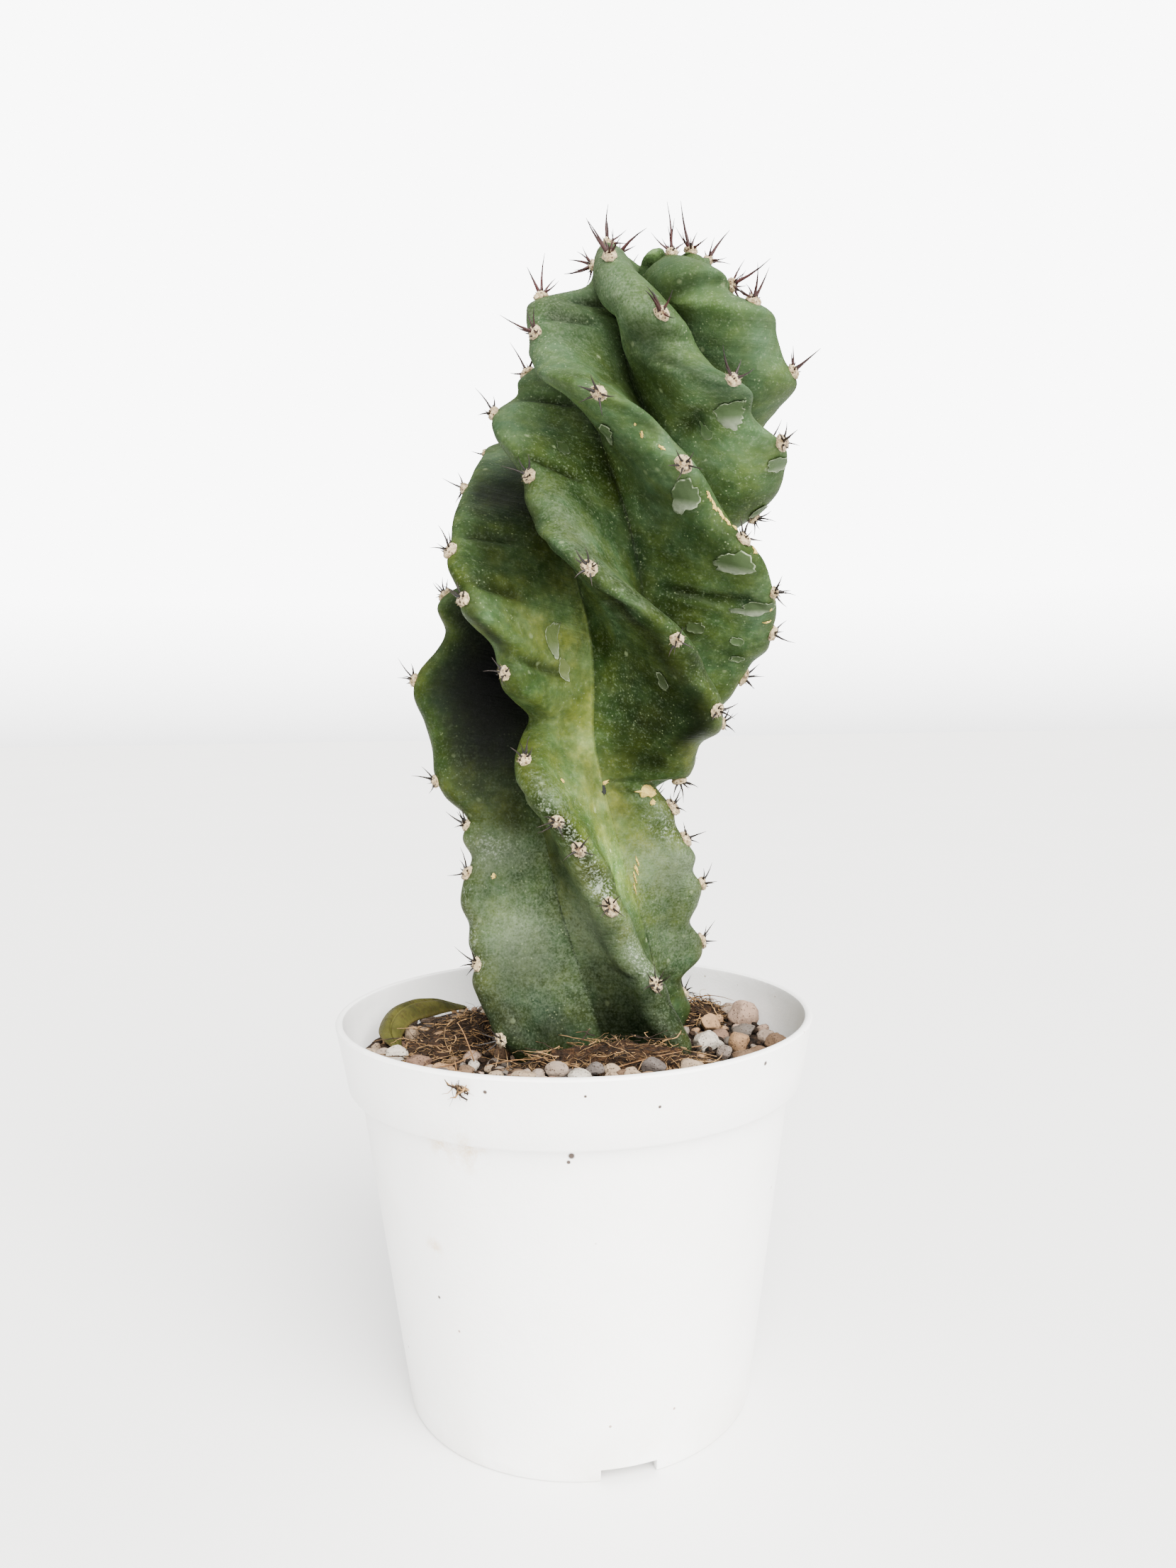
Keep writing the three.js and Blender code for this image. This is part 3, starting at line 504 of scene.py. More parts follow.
# %% Named colours
def tone(red, green, blue):
    """A colour from its 0 to 255 values, as the linear numbers that shaders take."""
    shares = np.array([red, green, blue]) / 255
    return np.where(shares > 10 / 255, ((shares + 0.055) / 1.055) ** 2.4, shares / 12.92)


GREEN = tone(48, 66, 33)
BLUE_GREEN = tone(52, 72, 50)
DEEP_GREEN = tone(26, 38, 14)
# Colour of painted shade
SHADE_GREEN = tone(7, 12, 2)
OLIVE = tone(58, 65, 34)
SEAM_YELLOW = tone(100, 116, 72)
BLOOM = tone(104, 116, 94)
FLECK = tone(128, 138, 120)
SPECK = tone(132, 144, 108)
# Near black for the painted shade at the stem's foot, among the stones
FOOT_SHADE = tone(14, 12, 7)

# %% [markdown]
# Marks that follow no law are soft-edged spots: yellowing, bloom, flecks, and also painted
# shade, painted light and painted sheen. A spot is listed under its flank, such as F+, with its
# middle place and half width, its middle level and half height, and its strength.

# %% Soft spots on the flanks
# Yellow-green about the seams: partly the skin's own colour, partly painted light
SEAM_YELLOW_AND_LIGHT = {
    "F+": [(1.0, 0.3, 212, 36, 0.9), (0.7, 0.35, 208, 12, 0.5), (0.85, 0.3, 240, 14, 0.35)],
    "E-": [(0.98, 0.4, 178, 18, 0.95)],
    "G+": [(0.5, 0.3, 188, 8, 0.35)],
    "F-": [(0.95, 0.3, 172, 30, 0.3)],
}
# Whitish waxy bloom; the spots high on D and A are partly a painted sheen
BLOOM_AND_SHEEN_SPOTS = {
    "E-": [
        (0.5, 0.45, 164, 14, 0.8), (0.35, 0.35, 184, 8, 0.4), (0.6, 0.4, 138, 12, 0.45),
        (0.4, 0.6, 158, 24, 0.45),
    ],
    "G+": [(0.5, 0.7, 150, 32, 0.45), (0.45, 0.5, 174, 8, 0.85), (0.6, 0.4, 148, 18, 0.75)],
    "F-": [(0.5, 0.7, 150, 32, 0.5), (0.6, 0.5, 150, 16, 0.75), (0.05, 0.35, 140, 12, 0.55)],
    "G-": [(0.2, 0.4, 170, 30, 0.4)],
    "F+": [(0.25, 0.4, 193, 6, 0.35)],
    "D-": [(0.15, 0.3, 340, 20, 0.35)],
    "D+": [(0.5, 0.3, 334, 12, 0.25)],
    "A-": [(0.2, 0.3, 345, 25, 0.35)],
    "E+": [(0.3, 0.35, 268, 14, 0.4)],
}
FLECK_SPOTS = {
    "F+": [(0.02, 0.25, 184, 14, 0.62), (0.0, 0.3, 165, 12, 0.7), (0.0, 0.3, 140, 14, 0.5)],
    "G+": [(0.4, 0.4, 176, 6, 0.6), (0.0, 0.3, 150, 30, 0.5)],
    "E-": [(0.3, 0.4, 178, 10, 0.5)],
}
# Painted shade where the flanks lie under an overhang or in a hollow
SHADE_SPOTS = {
    "E-": [
        (0.72, 0.24, 222, 20, 0.85), (0.6, 0.3, 205, 9, 0.8), (0.45, 0.25, 247, 12, 0.9),
        (0.2, 0.3, 136, 8, 0.3),
    ],
    "G+": [
        (0.85, 0.4, 228, 17, 1.0), (0.6, 0.3, 203, 12, 0.6), (0.5, 0.2, 240, 10, 0.7),
        (0.3, 0.5, 118, 12, 0.6),
    ],
    "F+": [
        (0.62, 0.35, 274, 12, 0.7), (0.6, 0.25, 255, 7, 0.4), (0.2, 0.5, 120, 12, 0.6),
        (0.03, 0.2, 182, 18, 0.85),
    ],
    "E+": [(0.1, 0.25, 239, 8, 0.6), (0.85, 0.3, 300, 20, 0.5), (0.25, 0.3, 252, 10, 0.5)],
    "D-": [(0.6, 0.25, 262, 10, 0.35), (0.8, 0.2, 285, 40, 0.4)],
    "F-": [(0.4, 0.5, 116, 9, 0.75)],
    "B-": [(0.6, 0.25, 322, 26, 0.35)],
    "A-": [(0.5, 0.3, 312, 14, 0.35)],
}
# Painted shade along the creases of the valleys
CREASE_SHADE = {
    "F-": [(1, 1, 145, 45, 0.7)],
    "G+": [(1, 1, 145, 45, 0.7)],
    "D+": [(1, 1, 300, 50, 0.7)],
    "A-": [(1, 1, 300, 50, 0.7)],
    "E+": [(1, 1, 285, 40, 0.7)],
    "D-": [(1, 1, 285, 40, 0.7)],
    "F+": [(1, 1, 270, 22, 0.6), (1, 1, 135, 18, 0.5)],
    "E-": [(1, 1, 270, 22, 0.6), (1, 1, 135, 18, 0.5)],
}
# Painted light and painted shade: here the last number is how many times lighter the skin is painted
PAINTED_LIGHT_AND_SHADE_SPOTS = {
    "A-": [
        (0.62, 0.22, 336, 13, 3.0), (0.85, 0.2, 315, 24, 3.5), (0.5, 0.3, 302, 18, 3.0),
        (0.28, 0.15, 322, 8, 0.4), (0.2, 0.12, 323, 8, 0.6), (0.34, 0.1, 314, 7, 1.7),
    ],
    "D+": [(0.92, 0.2, 333, 12, 2.4), (0.55, 0.3, 334, 12, 0.55)],
    "B-": [
        (0.45, 0.3, 345, 16, 1.9), (0.31, 0.2, 318, 12, 1.3), (0.65, 0.2, 330, 12, 2.1),
        (0.34, 0.2, 354, 8, 0.5),
    ],
    "D-": [
        (0.11, 0.12, 297, 8, 1.8), (0.61, 0.25, 260, 12, 2.1), (0.24, 0.2, 281, 12, 0.75),
        (0.92, 0.22, 290, 17, 4.0),
    ],
    "E+": [
        (0.6, 0.25, 310, 12, 1.9), (0.8, 0.2, 296, 12, 2.4), (0.25, 0.2, 265, 11, 0.65),
        (0.9, 0.15, 290, 13, 2.0), (0.63, 0.2, 287, 8, 1.9),
    ],
    "F+": [
        (0.61, 0.3, 275, 12, 0.4), (0.6, 0.25, 253, 10, 0.45), (1.0, 0.15, 217, 13, 1.2),
        (0.85, 0.3, 167, 13, 3.2), (0.07, 0.15, 236, 9, 0.3), (0.95, 0.15, 244, 9, 1.8),
        (0.75, 0.2, 177, 16, 1.6), (0.27, 0.1, 179, 8, 2.0), (0.97, 0.15, 150, 9, 1.7),
        (0.2, 0.12, 152, 18, 1.35), (0.55, 0.15, 191, 9, 1.35),
    ],
    "E-": [
        (0.98, 0.2, 217, 13, 1.2), (0.75, 0.15, 222, 10, 1.3), (0.83, 0.25, 186, 8, 0.6),
        (0.6, 0.3, 147, 12, 0.7), (0.36, 0.22, 228, 13, 0.25), (0.26, 0.2, 269, 8, 0.5),
        (0.27, 0.18, 218, 8, 0.28), (0.92, 0.15, 231, 12, 1.7), (0.95, 0.12, 212, 9, 1.5),
        (0.96, 0.12, 156, 8, 1.5),
    ],
    "G+": [
        (0.78, 0.35, 226, 20, 0.08), (0.24, 0.2, 230, 12, 0.7), (0.85, 0.2, 212, 10, 0.4),
        (0.4, 0.25, 190, 9, 0.5), (0.45, 0.4, 168, 12, 0.6), (0.6, 0.4, 147, 11, 0.65),
        (0.2, 0.4, 128, 12, 0.55), (0.82, 0.3, 201, 14, 0.3), (0.6, 0.3, 117, 8, 0.45),
        (0.7, 0.2, 185, 8, 0.55), (0.8, 0.25, 222, 12, 0.5), (0.6, 0.3, 136, 8, 0.62),
        (0.65, 0.25, 154, 6, 1.5), (0.76, 0.15, 118, 6, 0.6), (0.35, 0.15, 178, 6, 0.7),
    ],
    "F-": [
        (0.11, 0.2, 167, 12, 1.1), (0.8, 0.35, 117, 9, 0.18), (0.35, 0.2, 127, 9, 0.45),
        (0.8, 0.3, 134, 12, 0.4), (0.85, 0.2, 172, 14, 0.4), (0.28, 0.2, 147, 9, 0.66),
    ],
    "B+": [(0.0, 0.6, 382, 9, 3.0)],
}


def bell(value, middle, half):
    return np.exp(-(((value - middle) / half) ** 2))


def spots_near(rib_index, place, level, spots):
    """For each spot of a rib, how near the points are to its middle (0 to 1), and its strength."""
    for side, flank in FLANKS.items():
        for middle, wide, height, tall, strength in spots.get(RIBS[rib_index]["name"] + flank, ()):
            yield bell(place * side, middle, wide) * bell(level, height, tall), strength


def marked(rib_index, place, level, spots):
    """Strength of the strongest spot at points of a rib."""
    share = 0 * place
    for nearness, strength in spots_near(rib_index, place, level, spots):
        share = np.maximum(share, strength * nearness)
    return share


# %% Tint of every point, with its painted shade and painted light
def painted_light_and_shade(rib_index, place, level):
    # Painted light and shade: darker low on the stem, and lighter or darker at each spot
    painted_gain = 0.6 + 0.22 * smooth(level, 100, 150) + 0.05 * smooth(level, 270, 320) + 0 * place
    for nearness, factor in spots_near(rib_index, place, level, PAINTED_LIGHT_AND_SHADE_SPOTS):
        painted_gain *= factor**nearness
    return painted_gain


def blend_to(tint, colour, share):
    return tint + (colour - tint) * np.clip(share, 0, 1)[..., None]


def skin_tint(rib_index, place, level):
    at = rib_index, place, level
    aside, points = np.abs(place), skin_point(*at)
    cloud, wisp = lumps(points, 20, 3), lumps(points, 8, 4)
    youth = smooth(level, 150, 300)
    tint = GREEN + 0 * points
    for colour, share in (
        (BLUE_GREEN, 0.6 * youth + 0.5 * cloud + 0.2 * wisp),
        (OLIVE, (1 - youth) * (1 - smooth(aside, 0.1, 0.5)) * (0.5 + 0.4 * cloud)),
        # Darker towards the valleys: partly deeper green, partly painted shade
        (DEEP_GREEN, 0.5 * smooth(aside, 0.5, 0.95) + 0.7 * np.maximum(-cloud - 0.4 * wisp, 0)),
        # Painted shade in the slits between the ribs near the top
        (SHADE_GREEN, smooth(level, 230, 270) * 0.4 * smooth(aside, 0.92, 1)),
        # Yellow-green about the seams, partly painted light
        (SEAM_YELLOW, marked(*at, SEAM_YELLOW_AND_LIGHT) * (0.95 + 0.5 * wisp)),
        # Painted shade where the flanks lie in shade
        (SHADE_GREEN, marked(*at, SHADE_SPOTS) * (0.95 + 0.3 * wisp)),
        # Painted shade in the folds
        (SHADE_GREEN, 0.4 * fold_depth(*at)),
        # Painted shade along the valley creases
        (SHADE_GREEN, marked(*at, CREASE_SHADE) * smooth(aside, 0.98, 1)),
    ):
        tint = blend_to(tint, colour, share)
    tint[..., 0] *= 1.1
    tint[..., 2] *= 1.12 - 0.35 * smooth(level, 120, 180) + 0.15 * smooth(level, 220, 330)
    # Painted shade, near black, at the foot among the stones
    return blend_to(tint, FOOT_SHADE, 0.85 * smooth(112 - level, 0, 9))


def paint(mesh, name, values):
    """Keep one colour per point in an attribute."""
    values = np.concatenate([values, np.ones((len(values), 1))], 1)
    mesh.color_attributes.new(name, "FLOAT_COLOR", "POINT").data.foreach_set("color", values.ravel())


def note(mesh, name, values):
    """Keep one number per point in an attribute."""
    mesh.attributes.new(name, "FLOAT", "POINT").data.foreach_set("value", np.asarray(values, np.float32))


# %% Attributes of the stem
# The tint holds painted shade as well as the skin's colour
tints = over_ribs(skin_tint).reshape(-1, 3)
paint(stem.data, "tint", np.concatenate([tints, [FOOT_SHADE, BLUE_GREEN]]))
for name, rule, at_foot, at_tip in (
    ("across", lambda i, place, level: place + 2 * i, 0, 0),
    ("bloom_and_sheen", lambda *at: marked(*at, BLOOM_AND_SHEEN_SPOTS), 0, 0),
    ("flecks", lambda *at: marked(*at, FLECK_SPOTS), 0, 0),
    ("painted_gain", painted_light_and_shade, 1, 1),
    ("level", lambda i, place, level: level, ROOT_LEVEL, CROWN),
):
    note(stem.data, name, np.append(over_ribs(rule).ravel(), [at_foot, at_tip]))
print("mean tint", np.round(tints.mean(0), 3))

# %% [markdown]
# ## Nodes in a few words
# A material is a small graph of nodes. A few helpers keep the later cells short: they start a
# material, add a node with its inputs, make the usual patterns, spread a pattern's range over
# another, mix colours, and turn patterns into bumps.

# %% Helpers for materials
def material(name, roughness, specular):
    made = bpy.data.materials.new(name)
    made.use_nodes = True
    shader = made.node_tree.nodes["Principled BSDF"]
    shader.inputs["Roughness"].default_value = roughness
    shader.inputs["Specular IOR Level"].default_value = specular
    return made


def add(made, kind, inputs=(), output=0, **settings):
    """Add a node. An input is a number, a colour, or an output of another node."""
    node = made.node_tree.nodes.new("ShaderNode" + kind)
    for key, value in settings.items():
        setattr(node, key, value)
    for key, value in dict(inputs).items():
        if isinstance(value, bpy.types.NodeSocket):
            made.node_tree.links.new(value, node.inputs[key])
        else:
            node.inputs[key].default_value = value
    return node.outputs[output]


def attribute(made, name, output="Fac"):
    return add(made, "Attribute", output=output, attribute_name=name)


def place_of(made):
    return add(made, "TexCoord", output="Object")


def cloudy(made, vector, scale, detail=3.0, roughness=0.55):
    inputs = {"Vector": vector, "Scale": scale, "Detail": detail, "Roughness": roughness}
    return add(made, "TexNoise", inputs)


def cells(made, vector, scale, output="Distance"):
    return add(made, "TexVoronoi", {"Vector": vector, "Scale": scale}, output)


def stretched(made, vector, factors):
    return add(made, "VectorMath", {0: vector, 1: factors}, operation="MULTIPLY")


def spread(made, value, low, high, first=0.0, last=1.0):
    """Map a value's range to another, clamped."""
    inputs = {"Value": value, "From Min": low, "From Max": high, "To Min": first, "To Max": last}
    return add(made, "MapRange", inputs)


def maths(made, operation, a, b):
    return add(made, "Math", {0: a, 1: b}, operation=operation)


def times(made, a, b):
    return maths(made, "MULTIPLY", a, b)


def rgba(colour):
    return colour if isinstance(colour, bpy.types.NodeSocket) else (*colour, 1)


def mix(made, share, first, second, blend="MIX"):
    inputs = {0: share, 6: rgba(first), 7: rgba(second)}
    return add(made, "Mix", inputs, 2, data_type="RGBA", blend_type=blend)


def coats(made, colour, *layers):
    """Lay colours over a colour, one after the other, each with its share."""
    for share, over in layers:
        colour = mix(made, share, colour, over)
    return colour


def finish(made, colour, roughness=None, bumps=()):
    """Link colour, roughness and bumps, each a height with its depth in metres."""
    nodes = made.node_tree.nodes
    shader, normal = nodes["Principled BSDF"], None
    for height, depth in bumps:
        inputs = {"Height": height, "Distance": depth}
        if normal:
            inputs["Normal"] = normal
        normal = add(made, "Bump", inputs)
    for key, value in (("Base Color", colour), ("Roughness", roughness), ("Normal", normal)):
        if value is not None:
            made.node_tree.links.new(value, shader.inputs[key])
    return made


# %% [markdown]
# ## The skin's finish
# Close up the skin is mottled. It has pale specks where sap or hard water dried, faint pale lines
# across the flanks, fine wrinkles beside the folds, and a waxy surface that is glossier where
# the bloom has been rubbed off. The mottling is a row of patterns that each darken, lighten or
# tint what lies under them, and it is weaker where the stem is young.

# %% Skin material
def skin_dots(made, here, scale, share, reach):
    """Scattered round spots: a share of the cells of a pattern has one."""
    chosen = spread(made, cells(made, here, scale, "Color"), 1 - share, 1 - share + 0.03)
    return times(made, chosen, spread(made, cells(made, here, scale), reach, 0.5 * reach))


def mottled(made, here, colour, patterns):
    """Darken, lighten and tint a colour by patterns, each with its range, most and factors."""
    broad, middling, fine, grain = patterns
    hue = cloudy(made, here, 110, 3)
    aged = spread(made, attribute(made, "level"), 250, 345, 1, 0.45)
    for pattern, low, high, most, factors in (
        (hue, 0.5, 0.66, 1.0, (0.85, 1.0, 1.2)), (hue, 0.5, 0.36, 1.0, (1.12, 1.03, 0.75)),
        (broad, 0.45, 0.68, 0.8, (0.42, 0.5, 0.35)), (broad, 0.5, 0.3, 0.6, (1.5, 1.4, 1.5)),
        (middling, 0.45, 0.66, 0.7, (0.5, 0.58, 0.42)), (middling, 0.48, 0.32, 0.6, (1.4, 1.35, 1.3)),
        (fine, 0.48, 0.68, 0.6, (1.6, 1.5, 1.5)), (grain, 0.5, 0.7, 0.45, (0.5, 0.55, 0.45)),
    ):
        share = times(made, spread(made, pattern, low, high, 0, most), aged)
        colour = mix(made, share, colour, factors, "MULTIPLY")
    return colour


def skin_material():
    made = material("cactus_skin", 0.5, 0.03)
    here = place_of(made)
    patterns = [cloudy(made, here, scale, 5, 0.65) for scale in (70, 200, 480, 1400)]
    fine, grain = patterns[2:]
    speckle = maths(made, "ADD", times(made, grain, 0.7), times(made, fine, 0.3))
    # Bloom cover, partly a painted sheen near the crown
    cover = maths(made, "ADD", times(made, attribute(made, "bloom_and_sheen"), 0.36), speckle)
    flecked = maths(made, "ADD", times(made, attribute(made, "flecks"), 0.3), speckle)
    across, level = times(made, attribute(made, "across"), 1.6), times(made, attribute(made, "level"), 0.45)
    along = add(made, "CombineXYZ", {0: across, 1: level})
    lines = spread(made, cloudy(made, along, 1.0, 4, 0.6), 0.5, 0.75)
    patchy = spread(made, cloudy(made, here, 40, 2), 0.48, 0.62, 0, 0.13)
    clouded = spread(made, cloudy(made, here, 55, 3), 0.4, 0.64, 0.0, 0.5)
    dots = times(made, skin_dots(made, here, 1400, 0.2, 0.45), clouded)
    drops = times(made, skin_dots(made, here, 380, 0.12, 0.42), 0.34)
    colour = mottled(made, here, attribute(made, "tint", "Color"), patterns)
    colour = coats(made, colour, (spread(made, cover, 0.52, 0.95, 0, 0.85), BLOOM),
                   (spread(made, flecked, 0.66, 0.78, 0, 0.85), FLECK),
                   (times(made, lines, patchy), BLOOM), (maths(made, "MAXIMUM", dots, drops), SPECK))
    # Painted light and painted shade multiply the colour
    colour = mix(made, 1.0, colour, attribute(made, "painted_gain"), "MULTIPLY")
    wrinkles = cloudy(made, stretched(made, along, (0.6, 2.4, 1)), 1.0, 3)
    rough = spread(made, fine, 0.3, 0.7, 0.4, 0.58)
    return finish(made, colour, rough, [(wrinkles, 0.00024), (fine, 0.00018), (grain, 0.00009)])


stem.data.materials.append(skin_material())
print("skin", len(stem.data.materials[0].node_tree.nodes), "nodes")

# %% [markdown]
# ## Areoles
# Spines and flowers of a cactus grow from areoles, small cushions of wool in a row along each
# crest. A cushion is a few millimetres wide, lumpy and felted. It is modelled from a sphere, in
# three variants, flattened and roughened, and copied to each areole. Short hairs stand out all
# round it, because the edge of the wool is what the eye catches.

# %% Seats of the areoles
def seat(rib_index, level):
    """Matrix of an areole: x across the crest, y up along it, z outwards."""
    at = skin(rib_index, 0.0, level)
    out = skin_normal(rib_index, np.array(0.0), np.array(level))
    up = skin_point(rib_index, 0.0, level + 1.5) - skin_point(rib_index, 0.0, level - 1.5)
    up -= out * (up @ out)
    up /= np.linalg.norm(up)
    across = np.cross(up, out)
    return Matrix(np.vstack([np.column_stack([across, up, out, at * MM]), [0, 0, 0, 1]]).tolist())


seats = [(seat(i, level), level) for i, rib in enumerate(RIBS) for level in rib["levels"]]
print("seats", len(seats))

# %% Start a shape, rough it up and copy it
def started(name, primitive, **sizes):
    """Deselect everything and add a primitive under a name."""
    bpy.ops.object.select_all(action="DESELECT")
    primitive(**sizes)
    bpy.context.object.name = name
    return bpy.context.object


def apply_modifiers(piece):
    bpy.context.view_layer.objects.active = piece
    for modifier in list(piece.modifiers):
        bpy.ops.object.modifier_apply(modifier=modifier.name)


def roughen(piece, size, strength):
    """Displace a piece by a cloudy texture and apply it."""
    texture = bpy.data.textures.new(piece.name, "CLOUDS")
    texture.noise_scale = size
    lump = piece.modifiers.new("lumps", "DISPLACE")
    lump.texture, lump.strength, lump.mid_level = texture, strength, 0.5
    apply_modifiers(piece)


def ball(name, detail, *bumps):
    """A unit sphere of triangles, roughened by bumps, each a size and a strength."""
    made = started(name, bpy.ops.mesh.primitive_ico_sphere_add, subdivisions=detail, radius=1)
    for size, strength in bumps:
        roughen(made, size, strength)
    return made


def cone(name, sides, foot, tip):
    """A cone of height 1 that stands on the origin, with the radii of its foot and its tip."""
    made = started(name, bpy.ops.mesh.primitive_cone_add, vertices=sides, radius1=foot, radius2=tip, depth=1)
    made.data.transform(Matrix.Translation((0, 0, 0.5)))
    return made


def points_of(piece):
    flat = np.empty(3 * len(piece.data.vertices))
    piece.data.vertices.foreach_get("co", flat)
    return flat.reshape(-1, 3)


def copies(name, templates, turns):
    """One piece of many copies: each turn is a matrix, and templates are taken in order."""
    shapes = [(points_of(t), [list(p.vertices) for p in t.data.polygons]) for t in templates]
    parts = []
    for k, turn in enumerate(turns):
        points, faces = shapes[k % len(shapes)]
        turn = np.array(turn)
        parts.append((points @ turn[:3, :3].T + turn[:3, 3], faces))
    return piece_of(name, *joined(parts))


def discard(templates):
    for template in templates:
        bpy.data.objects.remove(template)


# %% Wool cushions
WOOL_RADIUS, WOOL_HEIGHT, WOOL_LIFT = 2.1, 1.5, 0.3
cushions = [ball(f"cushion_{k}", 4, (0.55 + 0.1 * k, 0.55), (0.16, 0.22)) for k in range(3)]
random.seed(5)
turns = []
for place, level in seats:
    wide = WOOL_RADIUS * MM * random.uniform(0.85, 1.15) * (1 - 0.15 * smooth(level, 330, 380))
    size = Matrix.Diagonal((wide, wide * random.uniform(1.0, 1.3), WOOL_HEIGHT * MM, 1))
    spin = Matrix.Rotation(random.uniform(0, 6.28), 4, "Z")
    turns.append(place @ Matrix.Translation((0, 0, WOOL_LIFT * MM)) @ size @ spin)
wool = copies("wool", cushions, turns)
away = [np.hypot(*points_of(cushion)[:, :2].T) for cushion in cushions]
note(wool.data, "away", np.concatenate([away[k % len(away)] for k in range(len(turns))]))
belongs(wool, "cactus")
discard(cushions)
print("wool", len(wool.data.polygons), "faces")

# %% Wool hairs round the cushions
HAIRS_EACH, HAIR_RING = 46, 1.7
hair = cone("hair", 3, 0.06, 0.012)
turns = []
for place, level in seats:
    for _ in range(HAIRS_EACH):
        turn, tilt = random.uniform(0, FULL_TURN), random.uniform(0.5, 1.5)
        foot = Vector((math.cos(turn), math.sin(turn), 0)) * HAIR_RING * MM * random.uniform(0.4, 1.15)
        foot.z = 0.5 * MM
        long = random.uniform(0.5, 1.3) * MM
        lean = Matrix.Rotation(turn + random.uniform(-0.7, 0.7), 4, "Z") @ Matrix.Rotation(tilt, 4, "Y")
        turns.append(place @ Matrix.Translation(foot) @ lean @ Matrix.Scale(long, 4))
hairs = copies("wool_hairs", [hair], turns)
belongs(hairs, "cactus")
discard([hair])
print("hairs", len(turns))

# %% [markdown]
# Wool is yellowish cream, with brown specks of dirt and of old spine stumps, mostly in its
# middle. It is quite rough, so a little sheen gives it its felted look.

# %% Wool material
def wool_material():
    made = material("areole_wool", 0.95, 0.2)
    here = place_of(made)
    lumpy = spread(made, cloudy(made, here, 900, 4, 0.65), 0.35, 0.65)
    centre = spread(made, attribute(made, "away"), 0.75, 0.3, 0.0, 0.75)
    dirty = spread(made, cloudy(made, here, 1300, 3), 0.46, 0.58)
    spots = spread(made, cells(made, here, 750), 0.32, 0.2, 0, 0.85)
    colour = coats(made, tone(104, 86, 58), (lumpy, tone(180, 162, 126)),
                   (times(made, centre, dirty), tone(58, 34, 22)), (spots, tone(48, 29, 19)))
    made.node_tree.nodes["Principled BSDF"].inputs["Sheen Weight"].default_value = 0.15
    return finish(made, colour, None, [(cloudy(made, here, 2500, 3), 0.0004)])


def fluff_material():
    made = material("wool_fluff", 0.95, 0.2)
    strands = spread(made, cloudy(made, place_of(made), 1200, 2), 0.35, 0.65)
    return finish(made, mix(made, strands, tone(122, 104, 76), tone(182, 168, 138)))


wool.data.materials.append(wool_material())
hairs.data.materials.append(fluff_material())

# %% [markdown]
# ## Spines
# Each areole carries four to six stiff spines and a few stubs of old ones. Most lie flat and
# point all round, and one or two stand out. Near the crown they are longer and reddish, with
# dark bases and tips; older ones are shorter and grey-brown. A spine is a slim cone, cut across
# into rings, swollen at its foot and bent a little.

# %% One spine
SPINE_RINGS, SPINE_BULB, SPINE_BEND = (0.12, 0.4, 0.7), 0.35, 0.05
spine = cone("spine", 6, 0.055, 0.006)
bpy.ops.object.mode_set(mode="EDIT")
for height in SPINE_RINGS:
    bpy.ops.mesh.select_all(action="SELECT")
    bpy.ops.mesh.bisect(plane_co=(0, 0, height), plane_no=(0, 0, 1))
bpy.ops.object.mode_set(mode="OBJECT")
for vertex in spine.data.vertices:
    z = vertex.co.z
    bulb = 1 + SPINE_BULB * bell(z, 0.0, 0.1)
    vertex.co = (vertex.co.x * bulb + SPINE_BEND * math.sin(math.pi * z), vertex.co.y * bulb, z)
print("one spine", len(spine.data.polygons), "faces")

# %% All spines
STUBS_EACH, SPINE_LIFT, STUB_LIFT, STUB_THICKNESS = 5, 0.9, 1.2, 0.006


def aimed_along(aim):
    """Matrix that turns the Z axis to a direction."""
    return aim.to_track_quat("Z", "Y").to_matrix().to_4x4()


random.seed(23)
turns, youths = [], []
for place, level in seats:
    youth = float(smooth(level, 285, 365))
    count = random.choice([4, 5, 6])
    first = random.uniform(0, 6.28)
    for k in range(count):
        leading = k < 1 + (youth > 0.4 and random.random() < 0.4)
        turn = first + FULL_TURN * k / count + random.uniform(-0.4, 0.4)
        tilt = random.uniform(0.1, 0.6) if leading else random.uniform(0.7, 1.3)
        upward = random.uniform(0.2, 0.6)
        reach = math.sin(tilt)
        aim = Vector((reach * math.cos(turn), reach * math.sin(turn) + upward, math.cos(tilt)))
        long = (7.5 + 4.8 * youth) if leading else (5.2 + 1.4 * youth)
        long *= random.uniform(0.8, 1.12) * MM
        foot = Matrix.Translation(Vector((aim.x, aim.y, 1)) * SPINE_LIFT * MM)
        lean = aimed_along(aim) @ Matrix.Rotation(random.uniform(0, 6.28), 4, "Z")
        thick = (0.0072 + (0.004 if leading else 0.0005) * youth) * random.uniform(0.85, 1.15)
        turns.append(place @ foot @ lean @ Matrix.Diagonal((thick, thick, long, 1)))
        youths.append(youth)
    for k in range(STUBS_EACH):
        turn, out = FULL_TURN * k / STUBS_EACH + first, random.uniform(0.3, 1.5) * MM
        aim = Vector((math.cos(turn), math.sin(turn), random.uniform(0.8, 2.0)))
        foot = Matrix.Translation((out * aim.x, out * aim.y, STUB_LIFT * MM))
        size = Matrix.Diagonal((STUB_THICKNESS, STUB_THICKNESS, random.uniform(0.8, 1.7) * MM, 1))
        turns.append(place @ foot @ aimed_along(aim) @ size)
        youths.append(0.0)
spines = copies("spines", [spine], turns)
belongs(spines, "cactus")
per_spine = len(spine.data.vertices)
note(spines.data, "along", np.tile(points_of(spine)[:, 2], len(turns)))
note(spines.data, "youth", np.repeat(youths, per_spine))
note(spines.data, "own", np.repeat([random.random() for _ in turns], per_spine))
discard([spine])
print("spines", len(turns))

